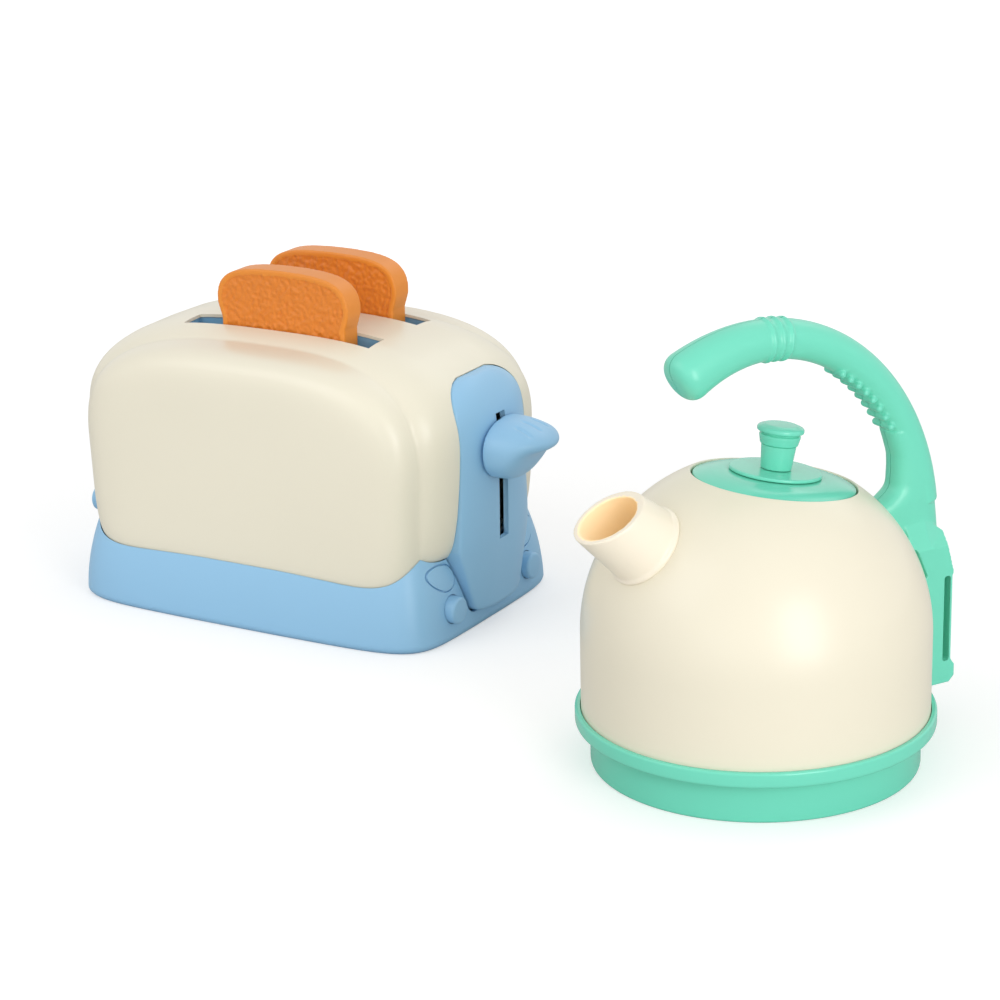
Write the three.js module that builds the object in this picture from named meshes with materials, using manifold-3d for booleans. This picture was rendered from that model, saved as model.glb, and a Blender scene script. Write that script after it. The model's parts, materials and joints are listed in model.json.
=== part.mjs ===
// A toy breakfast set: a play toaster with two slices of toast, and a play kettle with a lift-off lid.
// Millimetres, +Z up. Both toys stand on the plane z = 0, and the origin is below the middle of their box.

import * as THREE from "three";
import { mergeVertices } from "three/addons/utils/BufferGeometryUtils.js";
import Module from "manifold-3d";

const wasm = await Module();
wasm.setup();

// Clearances and walls that both toys share
const GAP = 0.3; // between pieces that touch
const RUNNING_GAP = 0.6; // round pieces that slide
const OVERRUN = 3; // how far a cut reaches past what it cuts
const WELD = 0.0001; // vertices closer than this are one
const WALL = 2.5; // moulded shells
const SCREW = { headRadius: 2.9, headHeight: 1.8, shankRadius: 1.4, bite: 9 };

// The toaster stands along X with its lever at +X and its front at -Y
const END = 98.5; // from the toaster's middle to the end of its rib
// How far inside that end, or outside it, the toaster's other pieces reach
const SETBACK = {
  cheek: 9, base: 1.8, skirt: 14.5, panelBack: 11.5, column: 36.5, rod: 24.5, button: 16.5, buttonSeat: 26.5,
  carriageBack: 32.5, carriageFront: 16.5, badge: 8.3,
};
const STANDOUT = { panel: 4.8, boss: 10, lever: 30.8, button: 0.9 };
const CHEEK = { halfLength: END - SETBACK.cheek, halfWidth: 62.5, bottom: 25, middle: 77.6, top: 126.9 };
const CHEEK_POWERS = { plan: 9, crown: 9, sill: 18, upper: 2.92, lower: 13, taperShare: 0.055 };
const CORE = { halfLength: END, halfWidth: 54, bottom: 33, middle: 82.6, top: 131.8 };
const CORE_POWERS = { plan: 6, crown: 3.5, sill: 8, upper: 2.98, lower: 12, taperShare: 0.05 };
const BOW = { sideShare: 0.03, endShare: 0.015 };
const SKIRT = { halfLength: END - SETBACK.skirt, halfWidth: 56, top: 60 };
const BASE = { halfLength: END - SETBACK.base, halfWidth: 66.4, height: 50, flare: 10.9 };
const BASE_EDGE = { reach: 2, height: 3 };
const BASE_POWERS = { plan: 8, flare: 2 };
const LEDGE = { bottom: 5.5, thickness: 1.6, reach: 14 };
const COVER = { bottom: 2.6 };
const SLOT = { left: -48.9, right: 51.2, width: 13, spacing: 40.6 };
const WELL = { wall: 1.6, clearance: 0.5, slitWidth: 6.4 };
const PLAIN_HEIGHT_SHARE = 0.8; // the panel at the far end is as much lower
const BOSS = { y: 22, z: 34.5, radius: 6.2, face: END + STANDOUT.boss, edge: 1.4 };
const COLUMN = { x: END - SETBACK.column, y: 41, radius: 4.5 };
const SLICE = { width: 70, neckWidth: 66, rise: 158, crownDepth: 24, thickness: 11.6, middle: 5, edge: 1 };
const PANEL = { back: END - SETBACK.panelBack, face: END + STANDOUT.panel, top: 116, bottom: 9.2 };
const PANEL_WIDTHS = { waist: 28.3, hip: 30.5, foot: 19.5, footCorner: 4 };
const PANEL_LEVELS = { hip: 40, waist: 78, shoulder: 98, fullest: 72 };
const PANEL_CURVES = { wrap: 5, footWrap: 3, footBack: 1.3, hood: 12 };
const PANEL_POWERS = { top: 2.65, hood: 4.5 };
const LEVER_SLOT = { bottom: 40, top: 98.5, width: 7.8 };
const LEVER = { bottom: 69.4, top: 98.6, halfWidth: 19.25, tip: END + STANDOUT.lever, travel: 27, socket: 6 };
const LEVER_POWER = 2.2;
// Out along the paddle: the way out, its half-width, and the levels of its top, crease and bottom
const paddleShares = [
  [0, 1, 0.861, 0, -1], [0.12, 0.998, 0.859, -0.008, -1], [0.26, 0.983, 0.847, -0.018, -0.982],
  [0.4, 0.95, 0.819, -0.014, -0.889], [0.53, 0.896, 0.773, 0.042, -0.616],
  [0.65, 0.818, 0.711, 0.142, -0.274], [0.76, 0.715, 0.629, 0.205, -0.089],
  [0.86, 0.573, 0.521, 0.222, -0.005], [0.94, 0.394, 0.396, 0.215, 0.062],
  [0.985, 0.204, 0.285, 0.205, 0.131], [1, 0.06, 0.212, 0.2, 0.189],
];
const CARRIAGE = { back: END - SETBACK.carriageBack, front: END - SETBACK.carriageFront, halfWidth: 24.5 };
const BRIDGE = { thickness: 6 };
const STEM = { thickness: 3.6, height: 15 };
const TRAY = { width: 5, thickness: 3, left: -30 };
const ROD = { x: END - SETBACK.rod, y: 9, radius: 2 };
const COIL = { inner: 2.6, outer: 4.2 };
const BUTTON = { y: 33.5, z: 14.8, radius: 6.2, tip: END + STANDOUT.button, back: END - SETBACK.button };
const BUTTON_LIP = { reach: 1, thickness: 1.5 };
const BUTTON_SEAT = { x: END - SETBACK.buttonSeat, thickness: 2, halfWidth: 6, above: 4 };
const BADGE = { x: END - SETBACK.badge, y: 36.2, z: 30, length: 13, height: 12, proud: 1.2 };
const BADGE_TURN = THREE.MathUtils.degToRad(45);

// The kettle stands by itself, with its handle side along its own +X
const KETTLE_PLACE = { x: 270.5, y: -90.6, turn: THREE.MathUtils.degToRad(60) };
const POT = { radius: 69.8, shoulder: 55, bottom: 18.8, bossRadius: 5, bossReach: 58, bossTop: 40 };
const STAND = { footRadius: 66.15, rimRadius: 72.3, rimBottom: 16.8, rimTop: 23.2, floorBottom: 1.6 };
const STAND_EXTRA = { floor: 3, footWidth: 4, edge: 1.2, seatWidth: 3 };
const LID_TILT = THREE.MathUtils.degToRad(8);
const LID = { radius: 33, distance: 60.3, ledge: 4, ledgeDepth: 3.2, rise: 3.4 };
const PLATE = { radius: 18.4, rise: 1.4 };
const KNOB = { footRadius: 6.1, neckRadius: 7.3, bandRadius: 8.3, capRadius: 9.3, groove: 0.8 };
const KNOB_LEVELS = { neck: 9.4, band: 14, cap: 17.8, grooveHeight: 0.5 };
const SPOUT_RISE = THREE.MathUtils.degToRad(40.5);
const SPOUT_CUT = THREE.MathUtils.degToRad(20);
const SPOUT = { rootRadius: 16.3, tipRadius: 14.4, length: 20.5, bore: 11.6, neck: 13 };
const BEAD = { radius: 1.3, reach: 17.2 };
const SPOUT_REACH = POT.radius + SPOUT.length; // of its mouth, from the dome's middle
const GRIP = { middle: 1.3, level: 81.8, reach: 79.3, height: 91.1, radius: 7.4, tipRadius: 10.2 };
const GRIP_ANGLES = { foot: THREE.MathUtils.degToRad(8), tip: THREE.MathUtils.degToRad(115) };
const GRIP_WALL = 2.6;
// The bracket reaches out beyond the stand's rim, and so do its lug, its eave and the end of its ridge
const BEYOND_RIM = { side: 16.3, lug: 17.7, eave: 13.4, fall: 15, ridge: 4.7 };
const BRACKET = { halfWidth: 13, bottom: 17.5, outer: STAND.rimRadius + BEYOND_RIM.side, lugTop: 25, bump: 65 };
const ROOF = { eave: 77, fall: 81.5, ridge: 89, ridgeHalfWidth: 7 };
const BRACKET_SLOT = { bottom: 27, top: 64, width: 3.2, inset: 1.5, depth: 7 };
const FOOT_POWER = 2.6;
const FOOT = { bottom: 74, top: 126.5 };
// Up the foot: height, reach of its inner and outer side in pot radii, half-width in the bracket's
const footShares = [
  [0, 0.946, 1.256, 0.6], [0.19, 0.802, 1.25, 0.6], [0.381, 0.777, 1.234, 0.59],
  [0.459, 0.854, 1.226, 0.58], [0.522, 0.913, 1.218, 0.57], [0.648, 0.933, 1.197, 0.565],
  [0.764, 0.934, 1.172, 0.56], [0.876, 0.913, 1.148, 0.554], [1, 0.88, 1.112, 0.538],
];
const RIB = { count: 8, width: 2.2, proud: 0.6, halfWidth: 6 };
const RIB_ANGLES = { first: THREE.MathUtils.degToRad(34), last: THREE.MathUtils.degToRad(60) };
const BAND = { count: 3, width: 2.2, proud: 0.7, pitch: 4.8 };
const BAND_ANGLE = THREE.MathUtils.degToRad(86);

// How finely round shapes are divided
const ROUND = { ring: 36, lathe: 40, knob: 20, small: 12, rod: 10, tube: 12, bends: 16, dome: 9 };
const COUNTS = { face: 12, bead: 8, leverHalf: 8 };

const cream = new THREE.MeshStandardMaterial({ color: 0xf0ead8, roughness: 0.42, metalness: 0 });
const potCream = new THREE.MeshStandardMaterial({ color: 0xf6f1de, roughness: 0.4, metalness: 0 });
const spoutCream = new THREE.MeshStandardMaterial({ color: 0xfcf5e3, roughness: 0.4, metalness: 0 });
const blue = new THREE.MeshStandardMaterial({ color: 0x96c4e6, roughness: 0.45, metalness: 0 });
const green = new THREE.MeshStandardMaterial({ color: 0x82dcc4, roughness: 0.4, metalness: 0 });
const toast = new THREE.MeshStandardMaterial({ color: 0xe98e3b, roughness: 0.7, metalness: 0 });
const steel = new THREE.MeshStandardMaterial({ color: 0xb8bcc0, roughness: 0.3, metalness: 1 });

// Solids and how they are joined

function weldedTriangles(geometry) {
  const bare = geometry.index ? geometry.toNonIndexed() : geometry.clone();
  for (const name of Object.keys(bare.attributes)) {
    if (name !== "position") bare.deleteAttribute(name);
  }
  const merged = mergeVertices(bare, WELD);
  const kept = [];
  const index = merged.index.array;
  for (let i = 0; i < index.length; i += 3) {
    const [a, b, c] = [index[i], index[i + 1], index[i + 2]];
    if (a !== b && b !== c && c !== a) kept.push(a, b, c);
  }
  return { vertices: merged.attributes.position.array, triangles: kept };
}

function signedVolume(vertices, triangles) {
  const [a, b, c] = [new THREE.Vector3(), new THREE.Vector3(), new THREE.Vector3()];
  let sum = 0;
  for (let i = 0; i < triangles.length; i += 3) {
    a.fromArray(vertices, 3 * triangles[i]);
    b.fromArray(vertices, 3 * triangles[i + 1]);
    c.fromArray(vertices, 3 * triangles[i + 2]);
    sum += a.dot(b.cross(c));
  }
  return sum / 6;
}

function solidOf(geometry, matrix) {
  const placed = matrix ? geometry.clone().applyMatrix4(matrix) : geometry;
  const { vertices, triangles } = weldedTriangles(placed);
  if (signedVolume(vertices, triangles) < 0) triangles.reverse();
  const triVerts = new Uint32Array(triangles);
  return new wasm.Manifold(new wasm.Mesh({ numProp: 3, vertProperties: vertices, triVerts }));
}

function geometryOf(solid) {
  const { vertProperties, triVerts, numProp, numVert } = solid.getMesh();
  const positions = new Float32Array(numVert * 3);
  for (let i = 0; i < numVert; i++) {
    positions.set(vertProperties.subarray(i * numProp, i * numProp + 3), i * 3);
  }
  const geometry = new THREE.BufferGeometry();
  geometry.setAttribute("position", new THREE.BufferAttribute(positions, 3));
  geometry.setIndex(new THREE.BufferAttribute(triVerts, 1));
  geometry.computeVertexNormals();
  return geometry;
}

function piece(name, solid, material) {
  const mesh = new THREE.Mesh(geometryOf(solid), material);
  mesh.name = name;
  return mesh;
}

const joined = (solids) => solids.reduce((sum, next) => sum.add(next));
const cut = (solid, tools) => tools.reduce((rest, tool) => rest.subtract(tool), solid);

// Basic forms

function block(x0, x1, y0, y1, z0, z1) {
  const box = new THREE.BoxGeometry(x1 - x0, y1 - y0, z1 - z0);
  box.translate((x0 + x1) / 2, (y0 + y1) / 2, (z0 + z1) / 2);
  return solidOf(box);
}

// A round bar between two points
function bar(from, to, radius, endRadius = radius, sides = ROUND.small) {
  const axis = to.clone().sub(from);
  const cylinder = new THREE.CylinderGeometry(endRadius, radius, axis.length(), sides);
  cylinder.rotateX(Math.PI / 2);
  const turn = new THREE.Quaternion().setFromUnitVectors(new THREE.Vector3(0, 0, 1), axis.clone().normalize());
  const middle = from.clone().add(to).multiplyScalar(1 / 2);
  return solidOf(cylinder, new THREE.Matrix4().compose(middle, turn, new THREE.Vector3(1, 1, 1)));
}

const at = (x, y, z) => new THREE.Vector3(x, y, z);
const standing = (x, y, z0, z1, radius, sides) => bar(at(x, y, z0), at(x, y, z1), radius, radius, sides);
const lying = (y, z, x0, x1, radius, sides) => bar(at(x0, y, z), at(x1, y, z), radius, radius, sides);

// A profile of [radius, height] pairs turned about Z; it starts and ends on the axis or closes on itself
function turned(profile, sides = ROUND.lathe) {
  const points = profile.map(([radius, height]) => new THREE.Vector2(radius, height));
  return new THREE.LatheGeometry(points, sides).rotateX(Math.PI / 2);
}

// An outline of [x, z] pairs in the XZ plane, thickened to both sides of y = 0
function slab(outline, halfThickness, bevel = 0) {
  const shape = new THREE.Shape(outline.map(([x, z]) => new THREE.Vector2(x, z)));
  const depth = 2 * (halfThickness - bevel);
  const settings = bevel
    ? { depth, bevelThickness: bevel, bevelSize: bevel, bevelOffset: -bevel, bevelSegments: 2 }
    : { depth, bevelEnabled: false };
  const geometry = new THREE.ExtrudeGeometry(shape, settings);
  return solidOf(geometry.translate(0, 0, -depth / 2).rotateX(Math.PI / 2));
}

// Rings of equally many points, one after another, closed at both ends by fans to their middles
function lofted(rings, endMiddles = [null, null]) {
  const count = rings[0].length;
  const middles = [rings[0], rings[rings.length - 1]].map((ring, end) => {
    if (endMiddles[end]) return endMiddles[end];
    return ring.reduce((sum, p) => sum.add(p), new THREE.Vector3()).multiplyScalar(1 / count);
  });
  const corners = [];
  const put = (...points) => points.forEach((p) => corners.push(p.x, p.y, p.z));
  for (let j = 0; j < count; j++) {
    const k = (j + 1) % count;
    put(middles[0], rings[0][k], rings[0][j]);
    for (let i = 0; i + 1 < rings.length; i++) {
      put(rings[i][j], rings[i][k], rings[i + 1][k]);
      put(rings[i][j], rings[i + 1][k], rings[i + 1][j]);
    }
    put(middles[1], rings[rings.length - 1][j], rings[rings.length - 1][k]);
  }
  const geometry = new THREE.BufferGeometry();
  geometry.setAttribute("position", new THREE.BufferAttribute(new Float32Array(corners), 3));
  return solidOf(geometry);
}

const signedPower = (value, power) => Math.sign(value) * Math.abs(value) ** power;

// A closed superellipse of the given half sizes, as [u, v] pairs
function superellipse(halfU, halfV, power, count = ROUND.ring) {
  const points = [];
  for (let i = 0; i < count; i++) {
    const t = (2 * Math.PI * (i + 1 / 2)) / count;
    points.push([halfU * signedPower(Math.cos(t), 2 / power), halfV * signedPower(Math.sin(t), 2 / power)]);
  }
  return points;
}

// The toaster's soft forms

// The outline of a soft block seen from the front: a superellipse that narrows towards its bottom
function loafOutline(size, powers, grow, scale) {
  const points = [];
  for (let i = 0; i < ROUND.ring; i++) {
    const t = (2 * Math.PI * (i + 1 / 2)) / ROUND.ring;
    const [c, s] = [Math.cos(t), Math.sin(t)];
    const power = s > 0 ? powers.upper : powers.lower;
    const reach = s > 0 ? size.top - size.middle : size.middle - size.bottom;
    const lift = signedPower(s, 2 / power) * (s > 0 ? scale.upper : scale.lower);
    const narrow = s < 0 ? 1 - powers.taperShare * lift ** 2 : 1;
    const x = (size.halfLength + grow) * signedPower(c, 2 / power) * scale.along * narrow;
    points.push([x, size.middle + (reach + grow) * lift]);
  }
  return points;
}

// A soft block whose sections across Y shrink towards its front and back faces
function softBlock(size, powers, grow = 0) {
  const nearShares = [0.998, 0.96, 0.88, 0.72, 0.45];
  const sectionShares = [...nearShares.map((wide) => -wide), 0, ...nearShares.toReversed()];
  const rings = sectionShares.map((wide) => {
    const left = (power) => (1 - Math.abs(wide) ** power) ** (1 / power);
    const scale = { along: left(powers.plan), upper: left(powers.crown), lower: left(powers.sill) };
    const y = (size.halfWidth + grow) * wide;
    return loafOutline(size, powers, grow, scale).map(([x, z]) => at(x, y, z));
  });
  const face = size.halfWidth + grow;
  return lofted(rings, [at(0, -face, size.middle), at(0, face, size.middle)]);
}

// The toaster's plan: a superellipse whose sides bow out a little
function planRing(halfLength, halfWidth) {
  return superellipse(halfLength, halfWidth, BASE_POWERS.plan).map(([x, y]) => [
    x * (1 - BOW.endShare * (y / halfWidth) ** 2),
    y * (1 - BOW.sideShare * (x / halfLength) ** 2),
  ]);
}

// A straight-sided block of that plan
function planBlock(halfLength, halfWidth, z0, z1) {
  const ring = planRing(halfLength, halfWidth);
  return lofted([z0, z1].map((z) => ring.map(([x, y]) => at(x, y, z))));
}

// How far the base's side stands inside its widest outline at a height
function baseInset(z) {
  const edge = z < BASE_EDGE.height ? BASE_EDGE.reach * (1 - z / BASE_EDGE.height) ** 2 : 0;
  return edge + BASE.flare * (Math.max(z, 0) / BASE.height) ** BASE_POWERS.flare;
}

function baseForm(inward, z0, z1) {
  const levelShares = [0, 0.03, 0.1, 0.25, 0.45, 0.65, 0.83, 1];
  const rings = levelShares.map((share) => {
    const z = z0 + share * (z1 - z0);
    const inset = inward + baseInset(z);
    const ring = planRing(BASE.halfLength - inset, BASE.halfWidth - inset);
    return ring.map(([x, y]) => at(x, y, z));
  });
  return lofted(rings);
}

const shellForm = (grow) => joined([softBlock(CHEEK, CHEEK_POWERS, grow), softBlock(CORE, CORE_POWERS, grow)]);

// Half the width of the end panel at a height
function panelHalfWidth(z) {
  const { lerp, smoothstep, clamp } = THREE.MathUtils;
  const { hip, waist, shoulder } = PANEL_LEVELS;
  const { footCorner } = PANEL_WIDTHS;
  const above = Math.max(z - PANEL.bottom, 0);
  if (z < hip) {
    const side = lerp(PANEL_WIDTHS.foot, PANEL_WIDTHS.hip, above / (hip - PANEL.bottom));
    const left = Math.max(footCorner - above, 0);
    return side - footCorner + Math.sqrt(footCorner ** 2 - left ** 2);
  }
  if (z < waist) return lerp(PANEL_WIDTHS.hip, PANEL_WIDTHS.waist, smoothstep(z, hip, waist));
  const up = clamp((z - shoulder) / (PANEL.top - shoulder), 0, 1);
  return PANEL_WIDTHS.waist * (1 - up ** PANEL_POWERS.top) ** (1 / PANEL_POWERS.top);
}

// How far out the panel's face stands on its middle line at a height
function panelFace(z) {
  const { fullest } = PANEL_LEVELS;
  if (z < fullest) return PANEL.face - PANEL_CURVES.footBack * ((fullest - z) / (fullest - PANEL.bottom)) ** 2;
  return PANEL.face - PANEL_CURVES.hood * ((z - fullest) / (PANEL.top - fullest)) ** PANEL_POWERS.hood;
}

// How far back the panel's sides wrap at a height
function panelWrap(z) {
  const up = THREE.MathUtils.clamp((z - PANEL.bottom) / (PANEL_LEVELS.hip - PANEL.bottom), 0, 1);
  return THREE.MathUtils.lerp(PANEL_CURVES.footWrap, PANEL_CURVES.wrap, up);
}

// One level of the panel: straight along its back, curved across its face
function panelRing(levelShare, grow, back) {
  const z = PANEL.bottom + levelShare * (PANEL.top - PANEL.bottom);
  const height = z + (levelShare - 1 / 2) * 2 * grow;
  const half = panelHalfWidth(z) + grow;
  const ring = [at(back - grow, -half, height), at(back - grow, half, height)];
  for (let i = 0; i <= COUNTS.face; i++) {
    const side = 1 - (2 * i) / COUNTS.face;
    ring.push(at(panelFace(z) + grow - panelWrap(z) * Math.abs(side) ** 3, side * half, height));
  }
  return ring;
}

// The curved block that closes an end of the toaster, grown on all sides
function panelForm(grow, back = PANEL.back) {
  const levelShares = [0, 0.01, 0.025, 0.05, 0.15, 0.285, 0.45, 0.65, 0.82, 0.89, 0.94, 0.975, 0.995];
  return lofted(levelShares.map((levelShare) => panelRing(levelShare, grow, back)));
}

const atFarEnd = (solid) => solid.scale([1, 1, PLAIN_HEIGHT_SHARE]).mirror([1, 0, 0]);
const panelHoles = (grow) => [panelForm(grow), atFarEnd(panelForm(grow))];
const bothSides = (make) => [make(-1), make(1)];

// The toaster's pieces

function toasterShell() {
  const skirt = planBlock(SKIRT.halfLength, SKIRT.halfWidth, LEDGE.bottom + LEDGE.thickness + GAP, SKIRT.top);
  const outer = shellForm(0).add(skirt);
  const reach = SKIRT.top - OVERRUN;
  const well = planBlock(SKIRT.halfLength - WALL, SKIRT.halfWidth - WALL, -OVERRUN, reach);
  const inner = shellForm(-WALL).add(well);
  const columns = columnPlaces().map(([x, y]) => {
    return standing(x, y, LEDGE.bottom, CORE.top, COLUMN.radius, ROUND.small);
  });
  const hollow = cut(outer, [inner]);
  const posted = hollow.add(joined(columns).intersect(shellForm(-WALL / 2).add(well)));
  const buttonRoom = BUTTON.radius + BUTTON_LIP.reach + RUNNING_GAP;
  const tools = [...slotCuts(), ...panelHoles(GAP), ...buttonCuts(buttonRoom)];
  const bores = columnPlaces().map(([x, y]) => {
    return standing(x, y, 0, LEDGE.bottom + SCREW.bite + OVERRUN, SCREW.shankRadius + GAP, ROUND.small / 2);
  });
  return piece("toaster_shell", cut(posted, [...tools, ...bores]), cream);
}

function slotCuts() {
  return bothSides((side) => {
    const middle = (side * SLOT.spacing) / 2;
    const half = SLOT.width / 2;
    return block(SLOT.left, SLOT.right, middle - half, middle + half, CHEEK.middle, CORE.top + OVERRUN);
  });
}

function buttonCuts(radius) {
  return bothSides((side) => {
    return lying(side * BUTTON.y, BUTTON.z, BUTTON_SEAT.x - OVERRUN, BUTTON.tip, radius, ROUND.small);
  });
}

function badge(side) {
  const drop = new THREE.SphereGeometry(1, ROUND.small, ROUND.small / 2);
  drop.scale(BADGE.length / 2, BADGE.proud, BADGE.height / 2);
  const turn = new THREE.Matrix4().makeRotationZ(side * -BADGE_TURN + (side < 0 ? 0 : Math.PI));
  return solidOf(drop, turn.setPosition(BADGE.x, side * BADGE.y, BADGE.z));
}

// A straight-sided block that stands inside the base's widest outline
const insideBase = (inset, z0, z1) => planBlock(BASE.halfLength - inset, BASE.halfWidth - inset, z0, z1);

function toasterBase() {
  const outer = baseForm(0, 0, BASE.height);
  const mouth = insideBase(BASE_EDGE.reach + WALL, -OVERRUN, OVERRUN);
  const inner = baseForm(WALL, 0, BASE.height + OVERRUN).add(mouth);
  const ledgeTop = LEDGE.bottom + LEDGE.thickness;
  const hole = insideBase(LEDGE.reach, 0, ledgeTop + OVERRUN);
  const floor = insideBase(BASE_EDGE.reach, LEDGE.bottom, ledgeTop);
  const ledge = cut(floor, [hole]).intersect(baseForm(WALL / 2, 0, BASE.height));
  const wall = cut(outer, [inner]).add(ledge).add(joined(bothSides(badge)));
  const tools = [shellForm(GAP), ...panelHoles(GAP), ...buttonCuts(BUTTON.radius + RUNNING_GAP)];
  return piece("toaster_base", cut(wall, tools), blue);
}

function bottomCover() {
  const inset = BASE_EDGE.reach + WALL + RUNNING_GAP;
  const top = LEDGE.bottom - GAP;
  const plate = insideBase(inset, COVER.bottom, top);
  const seats = bothSides((side) => {
    const [y, half] = [side * BUTTON.y, BUTTON_SEAT.halfWidth];
    const x0 = BUTTON_SEAT.x - BUTTON_SEAT.thickness;
    return block(x0, BUTTON_SEAT.x, y - half, y + half, COVER.bottom, BUTTON.z + BUTTON_SEAT.above);
  });
  const holes = columnPlaces().map(([x, y]) => {
    return standing(x, y, -OVERRUN, top + OVERRUN, SCREW.shankRadius + GAP, ROUND.small / 2);
  });
  return piece("toaster_bottom_cover", cut(joined([plate, ...seats]), [...holes, ...panelHoles(GAP)]), blue);
}

function columnPlaces() {
  return [-1, 1].flatMap((sx) => [-1, 1].map((sy) => [sx * COLUMN.x, sy * COLUMN.y]));
}

// A round-headed screw that points up, with the top of its head at a height
function screw(name, x, y, headTop, length) {
  const sides = ROUND.small / 2;
  const head = standing(x, y, headTop - SCREW.headHeight, headTop, SCREW.headRadius, sides);
  const shank = standing(x, y, headTop - SCREW.headHeight / 2, headTop + length, SCREW.shankRadius, sides);
  return piece(name, head.add(shank), steel);
}

function coverScrews() {
  const names = ["left_near", "left_far", "right_near", "right_far"];
  return columnPlaces().map(([x, y], i) => {
    const rise = LEDGE.bottom - COVER.bottom + SCREW.bite;
    return screw(`cover_screw_${names[i]}`, x, y, COVER.bottom - GAP, rise);
  });
}

// The box under a slot, open at both ends, with a slit for the tray that lifts the slice
function breadWell(side, name) {
  const middle = (side * SLOT.spacing) / 2;
  const half = SLOT.width / 2 + WELL.clearance;
  const [x0, x1] = [SLOT.left - WELL.clearance, SLOT.right + WELL.clearance];
  const box = (grow, z0, z1) => {
    return block(x0 - grow, x1 + grow, middle - half - grow, middle + half + grow, z0, z1);
  };
  const outer = box(WELL.wall, LEDGE.bottom, CORE.top).intersect(shellForm(-WALL - GAP).add(wellFoot()));
  const low = trayTop() - LEVER.travel - TRAY.thickness - OVERRUN;
  const high = trayTop() + OVERRUN;
  const slitHalf = WELL.slitWidth / 2;
  const slit = block(x1 - OVERRUN, x1 + OVERRUN, middle - slitHalf, middle + slitHalf, low, high);
  return piece(name, cut(outer, [box(0, 0, CORE.top + OVERRUN), slit]), blue);
}

const wellFoot = () => planBlock(SKIRT.halfLength - WALL, SKIRT.halfWidth - WALL, 0, SKIRT.top);
const trayTop = () => leverMiddle() - BRIDGE.thickness / 2 + TRAY.thickness / 2;

function endPanel(name, slotted) {
  const hollow = panelForm(-WALL, PANEL.back - OVERRUN);
  const half = LEVER_SLOT.width / 2;
  const slot = block(PANEL.back, LEVER.tip, -half, half, LEVER_SLOT.bottom, LEVER_SLOT.top);
  if (slotted) return piece(name, cut(panelForm(0), [hollow, slot]), blue);
  const bosses = bothSides((side) => {
    const { y, z, radius, face, edge } = BOSS;
    const stem = lying(side * y, z, -face + edge, 2 * PANEL_CURVES.wrap - PANEL.face, radius);
    return stem.add(bar(at(-face, side * y, z), at(edge - face, side * y, z), radius - edge, radius));
  });
  return piece(name, joined([atFarEnd(cut(panelForm(0), [hollow])), ...bosses]), blue);
}

// One section of the paddle: a bowed top and a bowed underside that meet at a crease on each side
function paddleRing([along, wide, top, crease, bottom]) {
  const [start, middle] = [paddleStart(), leverMiddle()];
  const [half, tall] = [wide * LEVER.halfWidth, (LEVER.top - LEVER.bottom) / 2];
  const ring = [];
  for (let i = 0; i < 2 * COUNTS.leverHalf; i++) {
    const t = (Math.PI * i) / COUNTS.leverHalf;
    const [y, rise] = [Math.cos(t), Math.sin(t)].map((value) => signedPower(value, 2 / LEVER_POWER));
    const level = crease + Math.abs(rise) * ((rise > 0 ? top : bottom) - crease);
    ring.push(at(THREE.MathUtils.lerp(start, LEVER.tip, along), y * half, middle + tall * level));
  }
  return ring;
}

// The leaf-shaped paddle: sections that narrow and flatten towards its tip
function leverPaddle() {
  const pocket = stemBlock(RUNNING_GAP / 2, paddleStart() + LEVER.socket + GAP);
  return piece("lever_paddle", cut(lofted(paddleShares.map(paddleRing)), [pocket]), blue);
}

const paddleStart = () => PANEL.face + RUNNING_GAP;
const leverMiddle = () => (LEVER.top + LEVER.bottom) / 2;

function stemBlock(grow, end) {
  const [half, tall] = [STEM.thickness / 2 + grow, STEM.height / 2 + grow];
  return block(CARRIAGE.front - OVERRUN, end, -half, half, leverMiddle() - tall, leverMiddle() + tall);
}

// The carriage joins the lever's stem to the two trays and slides on the rods
function carriage() {
  const top = trayTop();
  const bottom = top - BRIDGE.thickness;
  const bridge = block(CARRIAGE.back, CARRIAGE.front, -CARRIAGE.halfWidth, CARRIAGE.halfWidth, bottom, top);
  const stem = stemBlock(0, paddleStart() + LEVER.socket);
  const trays = bothSides((side) => {
    const middle = (side * SLOT.spacing) / 2;
    const half = TRAY.width / 2;
    return block(TRAY.left, CARRIAGE.back + OVERRUN, middle - half, middle + half, top - TRAY.thickness, top);
  });
  const bores = bothSides((side) => {
    return standing(ROD.x, side * ROD.y, bottom - OVERRUN, top + OVERRUN, ROD.radius + GAP, ROUND.small);
  });
  return piece("lever_carriage", cut(joined([bridge, stem, ...trays]), bores), blue);
}

function guideRod(side, name) {
  const roof = shellForm(-WALL - GAP);
  const rod = standing(ROD.x, side * ROD.y, LEDGE.bottom, CORE.top, ROD.radius, ROUND.rod);
  return piece(name, rod.intersect(roof.add(wellFoot())), steel);
}

// A sprung coil's envelope, as a sleeve between two points
function coilSleeve(name, from, to) {
  const along = to.clone().sub(from).normalize().multiplyScalar(OVERRUN);
  const core = bar(from.clone().sub(along), to.clone().add(along), COIL.inner);
  return piece(name, cut(bar(from, to, COIL.outer), [core]), steel);
}

function carriageSpring(side, name) {
  const top = trayTop() - BRIDGE.thickness - GAP;
  return coilSleeve(name, at(ROD.x, side * ROD.y, LEDGE.bottom), at(ROD.x, side * ROD.y, top));
}

function button(side, name) {
  const [y, z] = [side * BUTTON.y, BUTTON.z];
  const stem = lying(y, z, BUTTON.back, BUTTON.tip, BUTTON.radius, ROUND.knob);
  const lipRadius = BUTTON.radius + BUTTON_LIP.reach;
  const lip = lying(y, z, BUTTON.back, BUTTON.back + BUTTON_LIP.thickness, lipRadius, ROUND.small);
  return piece(name, stem.add(lip), blue);
}

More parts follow.
